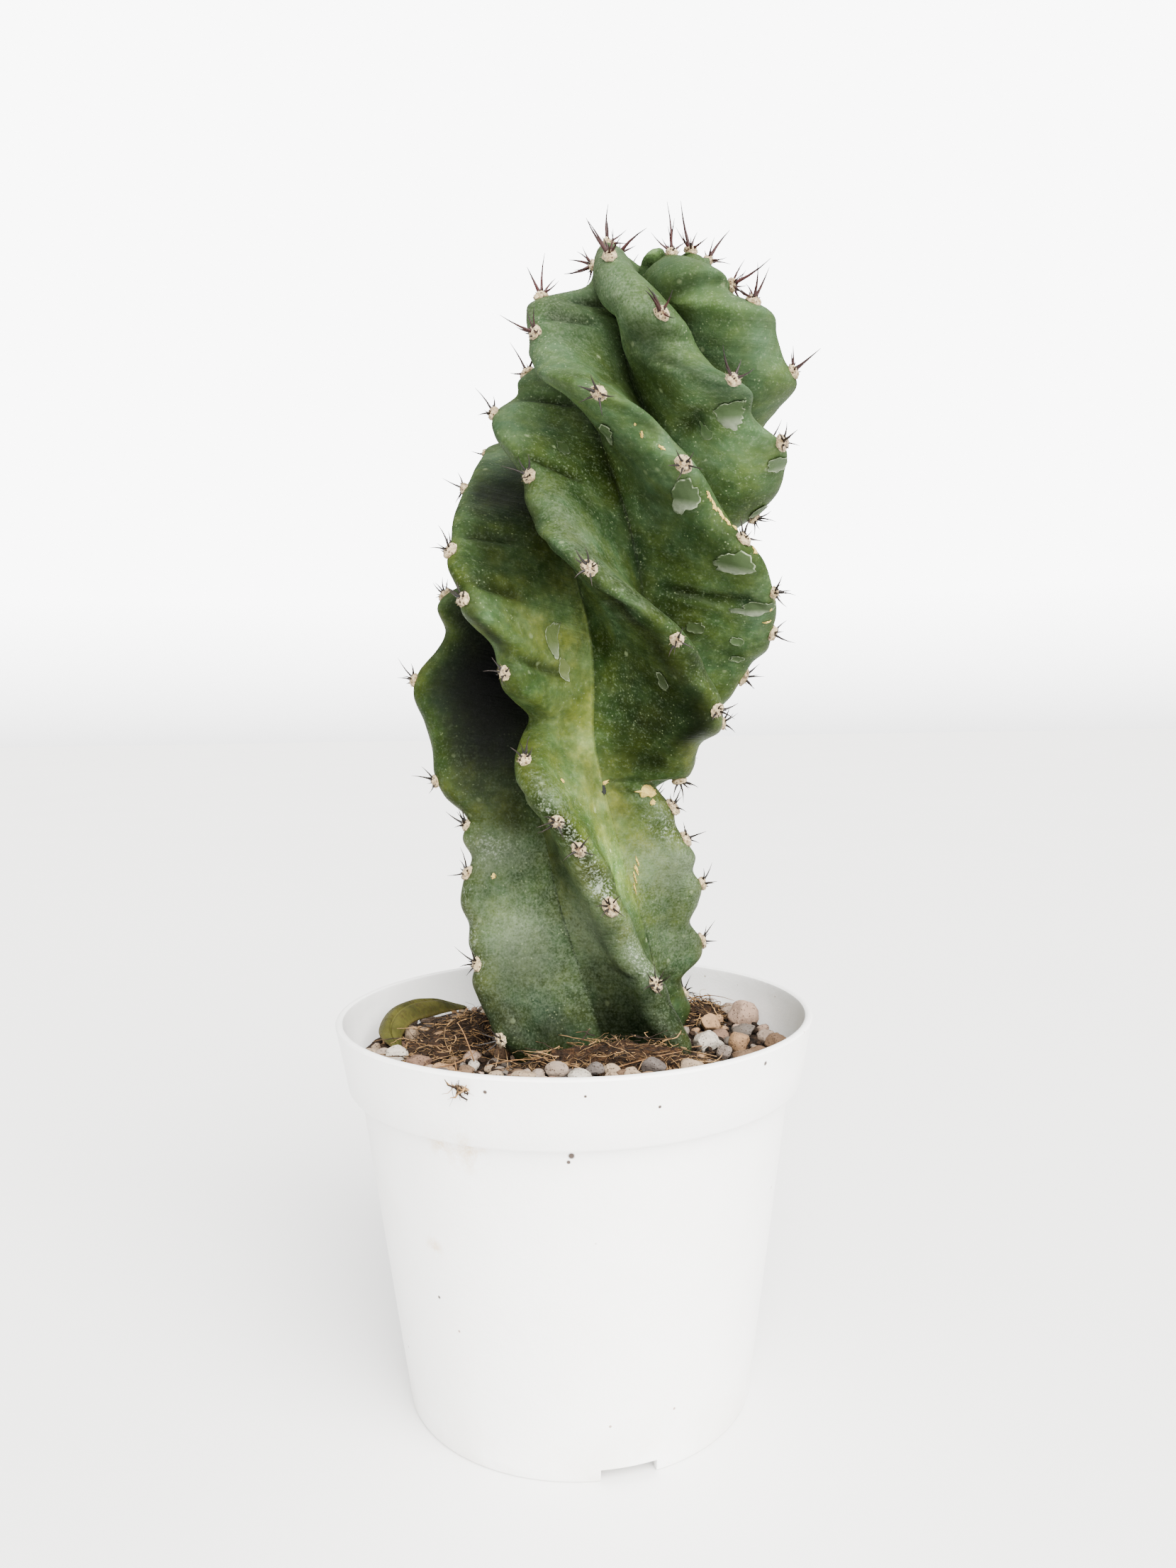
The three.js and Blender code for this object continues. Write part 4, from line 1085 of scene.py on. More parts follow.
# %% Spine material
def spine_material():
    made = material("spine", 0.5, 0.25)
    along, youth, own = attribute(made, "along"), attribute(made, "youth"), attribute(made, "own")
    young = mix(made, spread(made, along, 0.35, 0.75), tone(46, 15, 12), tone(15, 8, 8))
    colour = coats(made, tone(13, 9, 7), (spread(made, along, 0.2, 0.8), tone(32, 24, 19)),
                   (spread(made, youth, 0.1, 0.7), young),
                   (spread(made, along, 0.0, 0.14, 0.85, 0), tone(13, 9, 7)),
                   (spread(made, own, 0, 1, 0, 0.5), tone(16, 12, 10)))
    grain = cloudy(made, place_of(made), 2600, 2)
    return finish(made, colour, spread(made, grain, 0.3, 0.7, 0.35, 0.6), [(grain, 0.0001)])


spines.data.materials.append(spine_material())

# %% [markdown]
# ## The pot
# A nursery pot is moulded from thin white plastic: a cone with a band round its top, a rounded
# lip, and a floor raised on a foot ring. A form that is round about one axis could be spun. Here
# a circle is extruded and scaled ring by ring along the outline instead, up the outside, over
# the lip and down the inside, which gives one closed wall with no seam.

# %% Pot outline, radius and height in millimetres
POT_SIDES = 192
POT_OUTLINE = [
    (51.4, 4.0), (51.6, 1.6), (52.0, 0.3), (52.6, 0.0), (53.6, 0.0), (54.3, 0.3), (54.8, 1.2),
    (55.15, 4.2), (58.0, 25.5), (61.0, 48.0), (64.0, 70.5), (66.9, 92.5), (67.9, 99.6), (68.2, 100.3),
    (68.9, 100.7), (70.3, 100.8), (71.1, 101.2), (71.7, 102.0), (73.2, 110.5), (75.0, 120.2),
    (75.25, 121.1), (75.0, 121.7), (74.4, 122.0), (73.7, 122.0), (73.1, 121.6), (72.9, 120.8),
    (73.0, 118.0), (71.8, 111.0), (70.6, 103.6), (70.0, 102.4), (66.4, 99.9), (60.0, 53.0), (53.7, 5.6),
]
radius, height = POT_OUTLINE[0]
pot = started("pot_wall", bpy.ops.mesh.primitive_circle_add, vertices=POT_SIDES, radius=radius * MM,
              location=(0, 0, height * MM))
bpy.ops.object.transform_apply(location=True, rotation=False, scale=False)
bpy.ops.object.mode_set(mode="EDIT")
bpy.ops.mesh.select_all(action="SELECT")
bpy.ops.mesh.edge_face_add()
for wider, higher in POT_OUTLINE[1:]:
    bpy.ops.mesh.extrude_region_move(TRANSFORM_OT_translate={"value": (0, 0, (higher - height) * MM)})
    share = wider / radius
    bpy.ops.transform.resize(value=(share, share, 1), center_override=(0, 0, higher * MM))
    radius, height = wider, higher
bpy.ops.mesh.select_all(action="SELECT")
bpy.ops.mesh.remove_doubles(threshold=1e-6)
bpy.ops.mesh.normals_make_consistent(inside=False)
bpy.ops.object.mode_set(mode="OBJECT")
print("pot", len(pot.data.polygons), "faces")

# %% [markdown]
# Water leaves through six holes in the floor and runs out through three notches in the foot
# ring. Both are cut with one boolean modifier, by boxes and rods joined into one cutter. A small
# bevel then softens every sharp edge.

# %% Notches and drain holes
NOTCHES, NOTCH_CIRCLE, NOTCH_FACING = 3, 54.5, 15
NOTCH_WIDTH, NOTCH_DEPTH, NOTCH_HEIGHT = 16.5, 16, 3.8
DRAINS, DRAIN_CIRCLE, DRAIN_RADIUS, DRAIN_DEPTH, FLOOR_HEIGHT = 6, 38, 4, 6, 5
EDGE_SOFTNESS = 0.25


def round_the_pot(count, circle, height):
    """Turns and places that are evenly spaced round the pot, the first one facing the front."""
    for i in range(count):
        turn = math.radians(NOTCH_FACING + 360 / count * i)
        yield turn, Vector((circle * math.sin(turn), -circle * math.cos(turn), height)) * MM


cutters = []
for turn, at in round_the_pot(NOTCHES, NOTCH_CIRCLE, 0):
    box = started("notch", bpy.ops.mesh.primitive_cube_add, size=1, location=at, rotation=(0, 0, turn))
    box.scale = (NOTCH_WIDTH * MM, NOTCH_DEPTH * MM, 2 * NOTCH_HEIGHT * MM)
    cutters.append(box)
for _, at in round_the_pot(DRAINS, DRAIN_CIRCLE, FLOOR_HEIGHT):
    cutters.append(started("drain", bpy.ops.mesh.primitive_cylinder_add, location=at, vertices=24,
                           radius=DRAIN_RADIUS * MM, depth=DRAIN_DEPTH * MM))
for cutter in cutters:
    cutter.select_set(True)
bpy.context.view_layer.objects.active = cutters[0]
bpy.ops.object.join()
cutter = bpy.context.object
cut = pot.modifiers.new("openings", "BOOLEAN")
cut.object, cut.operation, cut.solver = cutter, "DIFFERENCE", "EXACT"
bpy.ops.object.select_all(action="DESELECT")
pot.select_set(True)
apply_modifiers(pot)
bpy.data.objects.remove(cutter)
soften = pot.modifiers.new("edges", "BEVEL")
soften.width, soften.segments = EDGE_SOFTNESS * MM, 2
soften.limit_method, soften.angle_limit = "ANGLE", math.radians(50)
apply_modifiers(pot)
bpy.ops.object.shade_smooth_by_angle(angle=math.radians(35))
belongs(pot, "pot")
print("pot with openings", len(pot.data.polygons), "faces")

# %% [markdown]
# The plastic is white and satin. It has a very fine mould texture, faint smudges, specks of soil
# that water splashed on it, and a brownish stain under the band where dirty water ran down.

# %% Pot material
# Each spot is x, y, z and reach in millimetres
POT_SPECKS = [
    (-22.6, -71.0, 117.6, 0.7), (3.6, -74.4, 117.1, 0.5), (23.1, -70.0, 112.5, 0.6),
    (-0.4, -67.9, 99.0, 1.1), (-1.2, -67.6, 97.2, 0.7), (53.5, -52.0, 118.2, 0.8),
    (-39.1, -47.2, 50.7, 0.6),
]
POT_STAINS = [
    (-29.4, -61.1, 99.6, 9.0), (-36, -57, 99.9, 6.0), (-40.5, -50, 66, 4.0), (30, 61, 100, 8.0),
    (66, 8, 99.9, 7.0),
]


def near(made, here, spots, soft):
    """Share of being near any of some spots."""
    whole = None
    for x, y, z, reach in spots:
        away = add(made, "VectorMath", {0: here, 1: (x * MM, y * MM, z * MM)}, 1, operation="DISTANCE")
        inside = spread(made, away, reach * soft * MM, reach * MM, 1, 0)
        whole = inside if whole is None else maths(made, "MAXIMUM", whole, inside)
    return whole


def pot_material():
    made = material("white_plastic", 0.4, 0.5)
    here = place_of(made)
    smudge = cloudy(made, here, 35, 5, 0.6)
    height = add(made, "SeparateXYZ", {0: here}, 2)
    # Darker and browner towards the foot, in cloudy patches
    clouded = times(made, spread(made, height, 0.0, 0.02, 0.4, 0), spread(made, smudge, 0.4, 0.6))
    specks = spread(made, cells(made, here, 160), 0.05, 0.08, 1, 0)
    few = spread(made, cells(made, here, 160, "Color"), 0.80, 0.82)
    blotch = spread(made, cloudy(made, here, 260, 4, 0.7), 0.4, 0.62)
    stain = times(made, near(made, here, POT_STAINS, 0.1), blotch)
    smudged = spread(made, smudge, 0.45, 0.75, 0, 0.35)
    splashed = times(made, times(made, specks, few), 0.8)
    colour = coats(made, (0.86, 0.855, 0.84), (smudged, (0.78, 0.765, 0.73)), (clouded, (0.6, 0.56, 0.48)),
                   (splashed, tone(120, 84, 50)), (times(made, stain, 0.75), tone(196, 160, 96)),
                   (near(made, here, POT_SPECKS, 0.6), tone(50, 34, 24)))
    mould = cloudy(made, here, 1400, 2)
    rough = spread(made, smudge, 0.3, 0.7, 0.33, 0.5)
    return finish(made, colour, rough, [(mould, 0.00006), (smudge, 0.0008)])


pot.data.materials.append(pot_material())

# %% [markdown]
# ## Soil under the stones
# Potting mix fills the pot. The CAD solid of it stays as it is and only gets a finish. Between
# the stones one sees a dark, crumbly bed, so a bumpy disc is laid there, made of rings that
# close in the middle, and crumbs are strewn over it. The soil's near black is partly its own
# colour and partly painted shade for the gaps between the stones. The bed lies higher towards
# the front.

# %% Soil material
def soil_material():
    made = material("soil", 0.95, 0.15)
    here = place_of(made)
    grains = spread(made, cells(made, here, 700, "Color"), 0.1, 0.9)
    damp = spread(made, cloudy(made, here, 300, 4), 0.4, 0.7, 0, 0.6)
    # Near black: partly the soil's own colour, partly painted shade in the gaps between the stones
    colour = coats(made, tone(14, 10, 7), (grains, tone(52, 38, 27)), (damp, tone(24, 17, 12)))
    pits = cells(made, here, 900)
    return finish(made, colour, None, [(pits, 0.0009), (cloudy(made, here, 250, 4), 0.0015)])


soil_finish = soil_material()
soil = bpy.data.objects["soil"]
soil.data.materials.clear()
soil.data.materials.append(soil_finish)

# %% Bed between the stones
BED_FLOOR, BED_TOP, BED_RADIUS = 104.0, 106.6, 70.3
BED_SIDES, BED_RINGS, HEAP = 120, 40, 6.0


def heap(y):
    """How much higher the gravel lies towards the front, in millimetres."""
    return HEAP * smooth(-y, 33, 43)


def bed_top(y):
    return BED_TOP + float(heap(y))


angles = np.linspace(0, FULL_TURN, BED_SIDES, endpoint=False)
rings = np.concatenate([[BED_RADIUS, BED_RADIUS], np.linspace(BED_RADIUS - 0.5, 2, BED_RINGS)])
flat = np.stack([np.outer(rings, np.cos(angles)), np.outer(rings, np.sin(angles))], -1)
bed = np.concatenate([flat, np.full((*flat.shape[:2], 1), BED_TOP)], -1)
bed[0, :, 2] = BED_FLOOR
bed[1:, :, 2] += heap(bed[1:, :, 1]) + 0.9 * lumps(bed[1:], 5, 6) + 0.4 * lumps(bed[1:], 1.8, 7)
grit_bed = closed_tube("grit_bed", bed, [0, 0, BED_FLOOR], [0, 0, BED_TOP])
grit_bed.data.materials.append(soil_finish)
belongs(grit_bed, "pumice")
print("bed", len(grit_bed.data.polygons), "faces")

# %% [markdown]
# ## The stones
# The top dressing is pumice and other light gravel, mostly three to ten millimetres across:
# pinkish beige, grey, tan, and a few white ones full of pores. A stone starts as a sphere. Random
# planes press its sides flat, as tumbling does, and a cloudy displacement roughens it. The stones
# that the eye knows stand at their own places, and smaller ones fill the gaps. The smaller the
# stone, the fewer faces it needs.

# %% Stone shapes in three sizes
FLATTENING = 0.85


def stone_shape(name, detail, planes):
    stone = ball(name, detail)
    facets = [Vector([random.gauss(0, 1) for _ in range(3)]).normalized() for _ in range(planes)]
    for facet in facets:
        reach = random.uniform(0.62, 0.86)
        for vertex in stone.data.vertices:
            over = vertex.co.dot(facet) - reach
            if over > 0:
                vertex.co -= facet * over * FLATTENING
    roughen(stone, 0.5, 0.16)
    roughen(stone, 0.14, 0.07)
    return stone


random.seed(31)
stones = [stone_shape(f"stone_{k}", 4, 9 + k) for k in range(6)]
pebbles = [stone_shape(f"pebble_{k}", 3, 8) for k in range(4)]
grits = [stone_shape(f"grit_{k}", 2, 7) for k in range(5)]
print("faces", [len(shapes[0].data.polygons) for shapes in (stones, pebbles, grits)])

# %% Room for a stone
POT_INSIDE, BED_LIMIT, RIB_REACH = 71.0, 68.5, 40


def inside_stem(x, y, height, reach):
    """Whether a point is nearer to the stem's skin than a reach, at a height."""
    centre = centre_line(np.array(float(height)))
    dx, dy = x - centre[0], y - centre[1]
    turn = math.degrees(math.atan2(dx, -dy))
    nearest = math.inf
    for i, rib in enumerate(RIBS):
        if abs((turn - float(crest_angle(rib, height)) + 180) % 360 - 180) < RIB_REACH:
            row = skin_point(i, PLACES, float(height))
            nearest = min(nearest, np.min(np.hypot(row[:, 0] - x, row[:, 1] - y)))
            off_x, off_y = row[:, 0] - centre[0], row[:, 1] - centre[1]
            row_turns = np.degrees(np.arctan2(off_x, -off_y))
            k = np.argmin(np.abs((row_turns - turn + 180) % 360 - 180))
            if math.hypot(dx, dy) < np.hypot(off_x[k], off_y[k]):
                return True
    return nearest < reach


def on_disc(radius):
    """A random place on a disc, and how far it is from the middle."""
    away, turn = radius * math.sqrt(random.random()), random.uniform(0, FULL_TURN)
    return away * math.cos(turn), away * math.sin(turn), away


def stone_turn(x, y, z, wide, high):
    """Matrix of a stone: lying flat, turned at random."""
    deep = wide * random.uniform(0.75, 1.05)
    size = Matrix.Diagonal((wide / 2 * MM, deep / 2 * MM, high / 2 * MM, 1))
    lean = Matrix.Rotation(random.uniform(-0.25, 0.25), 4, "X")
    lean = lean @ Matrix.Rotation(random.uniform(-0.2, 0.2), 4, "Y")
    turned = Matrix.Rotation(random.uniform(0, 6.28), 4, random.choice("XYZ"))
    return Matrix.Translation((x * MM, y * MM, z * MM)) @ lean @ size @ turned


# %% Stones at their own places
# x, y, width and height in millimetres, and the number of the tone
PLACED = [
    (63.5, 31.8, 10.9, 8.9, 0), (59.0, 36.3, 6, 6, 1), (54.0, 39.5, 7.7, 5.3, 2),
    (45.9, 22.7, 8, 5.8, 4), (56.4, 14.8, 8.6, 4.8, 5), (42.2, -1.4, 9.1, 7.1, 6),
    (53, -2.1, 7.5, 6.6, 4), (62.6, 5.7, 6.7, 4.6, 2), (64.3, -5.0, 8.1, 6.6, 7),
    (47.1, -9.7, 5.3, 4.5, 3), (52.9, -17.7, 9.6, 5, 7), (35.4, 4.8, 4.6, 5.1, 8),
    (34.2, -2.5, 3.4, 3.2, 6), (60.2, -19.4, 5, 3.8, 7), (53.7, -27.8, 6, 4, 7),
    (23, -38.6, 7.4, 4.9, 9), (33.8, -36.5, 8.3, 5, 8), (16.8, -44.1, 5.8, 3.6, 8),
    (10.7, -47.1, 4.6, 3.2, 8), (6.4, -39, 5.5, 3.7, 9), (2.1, -45.4, 7.7, 4.4, 6),
    (-1.1, -31.2, 5, 4.6, 9), (-57.7, 32.1, 5, 4, 2), (-51.8, 34.7, 6.7, 3.6, 2),
    (-54.5, 14.5, 5.2, 5.7, 8), (-43.1, 2.8, 9.7, 6.7, 4), (-55.8, -11.3, 8, 6.4, 6),
    (-65.0, -4.4, 5, 3.6, 8), (-62.3, -16, 5, 3.6, 8), (-48.0, -16.7, 8.8, 5.3, 1),
    (-39.1, -26.3, 8.1, 5.1, 4), (-30.2, -38.4, 5, 3.3, 7), (-21.7, -43.1, 4.5, 3, 8),
    (-13.9, -45.8, 8.1, 4, 8), (-31.4, 15.7, 6.9, 3, 8), (49.7, 31, 4, 3.5, 4),
]
FRONT_SHIFT, STONE_LIFT = 5, 0.9
# Share of a stone's width that its middle keeps from the wall, and shares of its height: how
# high its middle lies, and how tall it is with the part that is hidden
WALL_ROOM, MIDDLE_AT, WHOLE_HEIGHT = 0.53, 0.36, 1.15
random.seed(47)
turns, tones, taken = [], [], []
for x, y, wide, high, kind in PLACED:
    inward = min(1, (POT_INSIDE - WALL_ROOM * wide) / math.hypot(x, y))
    x, y = x * inward, y * inward
    y -= FRONT_SHIFT * float(smooth(-y, 33, 39))
    level = bed_top(y) + MIDDLE_AT * high + STONE_LIFT
    turns.append(stone_turn(x, y, level, wide, high * WHOLE_HEIGHT))
    tones.append(kind)
    taken.append((x, y, wide / 2))
placed = copies("stones", stones, turns)
note(placed.data, "kind", np.repeat(tones, len(stones[0].data.vertices)))
print("placed stones", len(turns))

# %% Smaller stones between them
PEBBLE_LEVEL, CRUMB_LEVEL = 108, 107
TONE_CHOICES = [0, 0, 1, 2, 2, 3, 4, 4, 7, 7, 8, 8, 8, 9, 6, 5]
OVERLAP = 0.86


def gravel(name, shapes, most, tries, largest, smallest):
    """One piece of small stones that are dropped at random where there is room."""
    turns, tones = [], []
    for _ in range(tries):
        x, y, away = on_disc(BED_LIMIT)
        wide = random.uniform(largest, smallest)
        if len(turns) == most or away + wide / 2 > BED_LIMIT + 1:
            continue
        if any(math.hypot(x - a, y - b) < OVERLAP * (r + wide / 2) for a, b, r in taken):
            continue
        if inside_stem(x, y, PEBBLE_LEVEL, wide / 2 - 0.5):
            continue
        high = wide * random.uniform(0.55, 0.85)
        level = bed_top(y) + 0.3 * high + random.uniform(-0.2, 0.6)
        turns.append(stone_turn(x, y, level, wide, high))
        tones.append(random.choice(TONE_CHOICES))
        taken.append((x, y, wide / 2))
    piece = copies(name, shapes, turns)
    note(piece.data, "kind", np.repeat(tones, len(shapes[0].data.vertices)))
    print(name, len(turns))
    return piece


small_stones = gravel("small_stones", pebbles, 95, 4000, 7.5, 4.0)
grit_stones = gravel("grit_stones", grits, 260, 9000, 4.6, 2.2)
gravels = [placed, small_stones, grit_stones]
for piece in gravels:
    belongs(piece, "pumice")
discard(stones + pebbles + grits)

# %% Stone material
STONE_TONES = [
    (140, 118, 102), (100, 78, 64), (124, 110, 98), (108, 98, 90), (132, 104, 76), (86, 79, 73),
    (158, 151, 140), (96, 76, 58), (134, 117, 97), (80, 73, 69),
]


def stone_material():
    made = material("pumice", 0.88, 0.25)
    here = place_of(made)
    kind = attribute(made, "kind")
    colour = tone(*STONE_TONES[0])
    for k, values in enumerate(STONE_TONES[1:], 1):
        colour = mix(made, spread(made, kind, k - 0.6, k - 0.4), colour, tone(*values))
    broad = spread(made, cloudy(made, here, 160, 4, 0.65), 0.35, 0.65, 0, 0.5)
    colour = mix(made, broad, colour, mix(made, 1.0, colour, (0.55, 0.48, 0.42), "MULTIPLY"))
    fine = cloudy(made, here, 900, 4, 0.7)
    lighter = mix(made, 1.0, colour, (1.5, 1.45, 1.4), "MULTIPLY")
    pores = spread(made, cells(made, here, 1100), 0.12, 0.3, 1, 0)
    colour = coats(made, colour, (spread(made, fine, 0.5, 0.68, 0, 0.55), lighter),
                   (times(made, pores, 0.6), tone(70, 54, 44)))
    return finish(made, colour, None, [(fine, 0.0005), (times(made, pores, -1.0), 0.0004)])


stone_finish = stone_material()
for piece in gravels:
    piece.data.materials.append(stone_finish)

# %% Crumbs of soil and bark
CRUMBS, CRUMB_LIMIT = 520, 67
crumb_shapes = [ball(f"crumb_{k}", 2, (0.6, 0.9)) for k in range(3)]
turns = []
while len(turns) < CRUMBS:
    x, y, _ = on_disc(CRUMB_LIMIT)
    if inside_stem(x, y, CRUMB_LEVEL, 0.3):
        continue
    wide = random.uniform(0.5, 1.5)
    turns.append(stone_turn(x, y, bed_top(y) + random.uniform(0.6, 2.2), 2 * wide, 1.6 * wide))
crumbs = copies("crumbs", crumb_shapes, turns)
crumbs.data.materials.append(soil_finish)
belongs(crumbs, "pumice")
discard(crumb_shapes)
print("crumbs", len(turns))

# %% [markdown]
# ## Coir
# Brown coconut fibre lies on the stones in three tufts, with dark crumbly matter felted into it.
# Fibres are drawn in code: each is a path that wanders, with a three-sided tube round it, and
# all fibres of a tuft are one mesh. Hair particles would be the usual way, but they'd have to be
# turned to meshes anyway, and a rule gives each fibre its own bend.

# %% Fibre tubes
def chance(wide=1.0):
    """A vector whose three numbers are drawn about 0."""
    return Vector([random.gauss(0, wide) for _ in range(3)])


def fibre_tube(path, thick):
    """Points and faces of a three-sided tube that thins towards its end."""
    path, n = np.asarray(path, float), len(path)
    along = np.gradient(path, axis=0)
    along /= np.linalg.norm(along, axis=1, keepdims=True)
    side = np.cross(along, [0.31, 0.17, 0.94])
    side /= np.linalg.norm(side, axis=1, keepdims=True)
    other = np.cross(along, side)
    size = (thick * (1 - 0.6 * np.linspace(0, 1, n) ** 2))[:, None]
    turns = [FULL_TURN * k / 3 for k in range(3)]
    points = [path + (side * math.cos(turn) + other * math.sin(turn)) * size for turn in turns]
    starts = [(k * n, (k + 1) % 3 * n) for k in range(3)]
    faces = [[a + i, b + i, b + i + 1, a + i + 1] for i in range(n - 1) for a, b in starts]
    return np.concatenate(points) * MM, faces + [[2 * n, n, 0], [n - 1, 2 * n - 1, 3 * n - 1]]


def fibre_piece(name, paths, thickness):
    """One piece of thin tubes along paths in millimetres."""
    piece = piece_of(name, *joined([fibre_tube(path, thick) for path, thick in zip(paths, thickness)]))
    note(piece.data, "along", np.concatenate([np.tile(np.linspace(0, 1, len(path)), 3) for path in paths]))
    note(piece.data, "own", np.concatenate([np.full(3 * len(path), random.random()) for path in paths]))
    return piece


def wandering(start, direction, length, wander, floor, steps=8):
    """A path that wanders as it goes and lies on the floor."""
    at, heading = Vector(start), Vector(direction).normalized()
    curl = chance() * wander
    path = [at.copy()]
    for _ in range(steps):
        heading = (heading + curl * 0.35 + chance() * wander * 0.5).normalized()
        at = at + heading * length / steps
        at.z = min(max(at.z, floor), start[2] + 1.5)
        away = math.hypot(at.x, at.y)
        if away > BED_LIMIT:
            at.x, at.y = at.x * BED_LIMIT / away, at.y * BED_LIMIT / away
        path.append(at.copy())
    return path


# %% Tufts
TUFTS = [
    dict(name="coir_front", x=13, y=-26, long=31, wide=6.5, high=10.5, turn=-4, fibres=600),
    dict(name="coir_left", x=-38, y=10, long=31, wide=14, high=7.0, turn=62, fibres=620),
    dict(name="coir_back", x=44, y=40, long=12, wide=8, high=5.0, turn=-38, fibres=230),
]
TUFT_FLOOR, FIBRE_LIFT, FIBRE_CLEARANCE = 107.6, 0.6, 0.8
FIBRE_THICKNESS, WANDER = [0.09, 0.12, 0.16, 0.22], 0.34


def tuft_fibre(tuft):
    """Path of one fibre of a tuft, or nothing where it would start in the stem."""
    turn = math.radians(tuft["turn"])
    away, around = math.sqrt(random.random()), random.uniform(0, FULL_TURN)
    u, v = tuft["long"] * away * math.cos(around), tuft["wide"] * away * math.sin(around)
    x = tuft["x"] + u * math.cos(turn) - v * math.sin(turn)
    y = tuft["y"] + u * math.sin(turn) + v * math.cos(turn)
    z = TUFT_FLOOR + tuft["high"] * (1 - away**2) * random.uniform(0.3, 1.1) + 2 * FIBRE_LIFT
    if inside_stem(x, y, z, FIBRE_CLEARANCE):
        return None
    heading = turn + random.gauss(0, 0.85) + (math.pi if random.random() < 0.5 else 0)
    direction = (math.cos(heading), math.sin(heading), random.gauss(-0.12, 0.22))
    return wandering((x, y, z), direction, random.uniform(5, 15), WANDER, TUFT_FLOOR + FIBRE_LIFT)


random.seed(61)
for tuft in TUFTS:
    paths = []
    while len(paths) < tuft["fibres"]:
        path = tuft_fibre(tuft)
        if path:
            paths.append(path)
    fibres = fibre_piece(tuft["name"] + "_fibres", paths, [random.choice(FIBRE_THICKNESS) for _ in paths])
    belongs(fibres, tuft["name"])
    tuft["piece"] = fibres
    print(tuft["name"], len(fibres.data.polygons), "faces")

# %% Dark felted matter under the fibres
MAT_LONG, MAT_WIDE, MAT_HIGH = 0.86, 0.84, 0.8
for tuft in TUFTS:
    mat = ball(tuft["name"] + "_mat", 6, (0.35, 0.5))
    turn = Matrix.Rotation(math.radians(tuft["turn"]), 4, "Z")
    sizes = MAT_LONG * tuft["long"] * MM, MAT_WIDE * tuft["wide"] * MM, MAT_HIGH * tuft["high"] * MM
    place = Matrix.Translation((tuft["x"] * MM, tuft["y"] * MM, (TUFT_FLOOR + FIBRE_LIFT) * MM))
    mat.data.transform(place @ turn @ Matrix.Diagonal((*sizes, 1)))
    roughen(mat, 2.2 * MM, 1.6 * MM)
    roughen(mat, 0.7 * MM, 0.6 * MM)
    mat.data.shade_smooth()
    belongs(mat, tuft["name"])
    tuft["mat"] = mat
print("mats", len(TUFTS))

# %% [markdown]
# Single tan straws stand out against the stones. They are drawn one by one, from their root to
# their tip, and each sways a little.

# %% Straws
STRAWS = [
    ((-30.7, -18.4, 110), (-35.5, -19.5, 122.5), 0.28), ((-33.3, -37.8, 110), (-34.5, -36, 115.5), 0.35),
    ((24.6, -6.2, 113), (38.8, 3, 114.5), 0.3), ((24.6, -13.3, 113), (34.2, -22, 114), 0.4),
    ((35.7, -22.1, 113), (42.5, -29, 113.5), 0.35), ((18.3, -38.6, 111.5), (26.5, -21.6, 115), 0.25),
    ((-23.7, -23.9, 110), (-24.5, -12, 115), 0.2), ((-20, -24.1, 110), (-22, -14, 115), 0.2),
    ((-44.1, -29.8, 111), (-30, -16, 113), 0.3), ((-8.7, -24, 112), (-26, -33, 113), 0.28),
    ((39.7, -12.6, 112), (20, -26, 115.5), 0.3), ((-50, 10, 112), (-36, 26, 114), 0.3),
    ((2, -33, 112), (-15, -27, 115), 0.22), ((-55, 2, 111), (-40, -14, 113.5), 0.26),
    ((10, -36, 112), (32, -30, 115.5), 0.3), ((40, 44, 113), (55, 28, 116), 0.25),
]
STRAW_POINTS, STRAW_SWAY, STRAW_SLIMNESS = 9, 0.05, 0.85
random.seed(71)
t = np.linspace(0, 1, STRAW_POINTS)[:, None]
paths, thickness = [], []
for root, tip, thick in STRAWS:
    root, tip = np.array(root, float), np.array(tip, float)
    sway = np.array([random.gauss(0, 1) for _ in range(3)]) * STRAW_SWAY * np.linalg.norm(tip - root)
    paths.append(root + (tip - root) * t + np.sin(math.pi * t) * sway)
    thickness.append(STRAW_SLIMNESS * thick)
straws = fibre_piece("straws", paths, thickness)
belongs(straws, "coir_front")
print("straws", len(paths))

# %% A tangle of fibres stuck to the rim
TANGLE, TANGLE_FIBRES, TANGLE_STEP = Vector((-29.2, -68.8, 117.6)), 26, 1.1
TANGLE_THICKNESS = [0.1, 0.16, 0.34]
BAND_RADIUS, BAND_SLANT, BAND_LEVEL, BAND_CLEARANCE = 74.2, 0.33, 117.0, 0.3


def outside_rim(point):
    """The point moved out to the rim band's slanted outside, if it is within it."""
    rim = BAND_RADIUS + BAND_SLANT * (point.z - BAND_LEVEL) + BAND_CLEARANCE
    out, turn = max(math.hypot(point.x, point.y), rim), math.atan2(point.y, point.x)
    return out * math.cos(turn), out * math.sin(turn), point.z


paths = []
for _ in range(TANGLE_FIBRES):
    start = TANGLE + chance(0.8)
    heading = Vector([random.gauss(0, wide) for wide in (0.6, 0.3, 0.6)])
    strays = [chance(0.5) for _ in range(4)]
    paths.append([outside_rim(start + heading * TANGLE_STEP * k + stray) for k, stray in enumerate(strays)])
tangle = fibre_piece("rim_tangle", paths, [random.choice(TANGLE_THICKNESS) for _ in paths])
belongs(tangle, "coir_front")
print("tangle", len(paths), "fibres")

# %% Coir materials
def coir_material(name, low, high, dark):
    made = material(name, 0.85, 0.25)
    patchy = cloudy(made, place_of(made), 500, 3)
    colour = coats(made, low, (spread(made, attribute(made, "own"), 0.35, 1.0), high),
                   (spread(made, patchy, 0.4, 0.65, 0, 0.7), dark),
                   (spread(made, attribute(made, "along"), 0.6, 1, 0, 0.2), high))
    return finish(made, colour, None, [(patchy, 0.0002)])


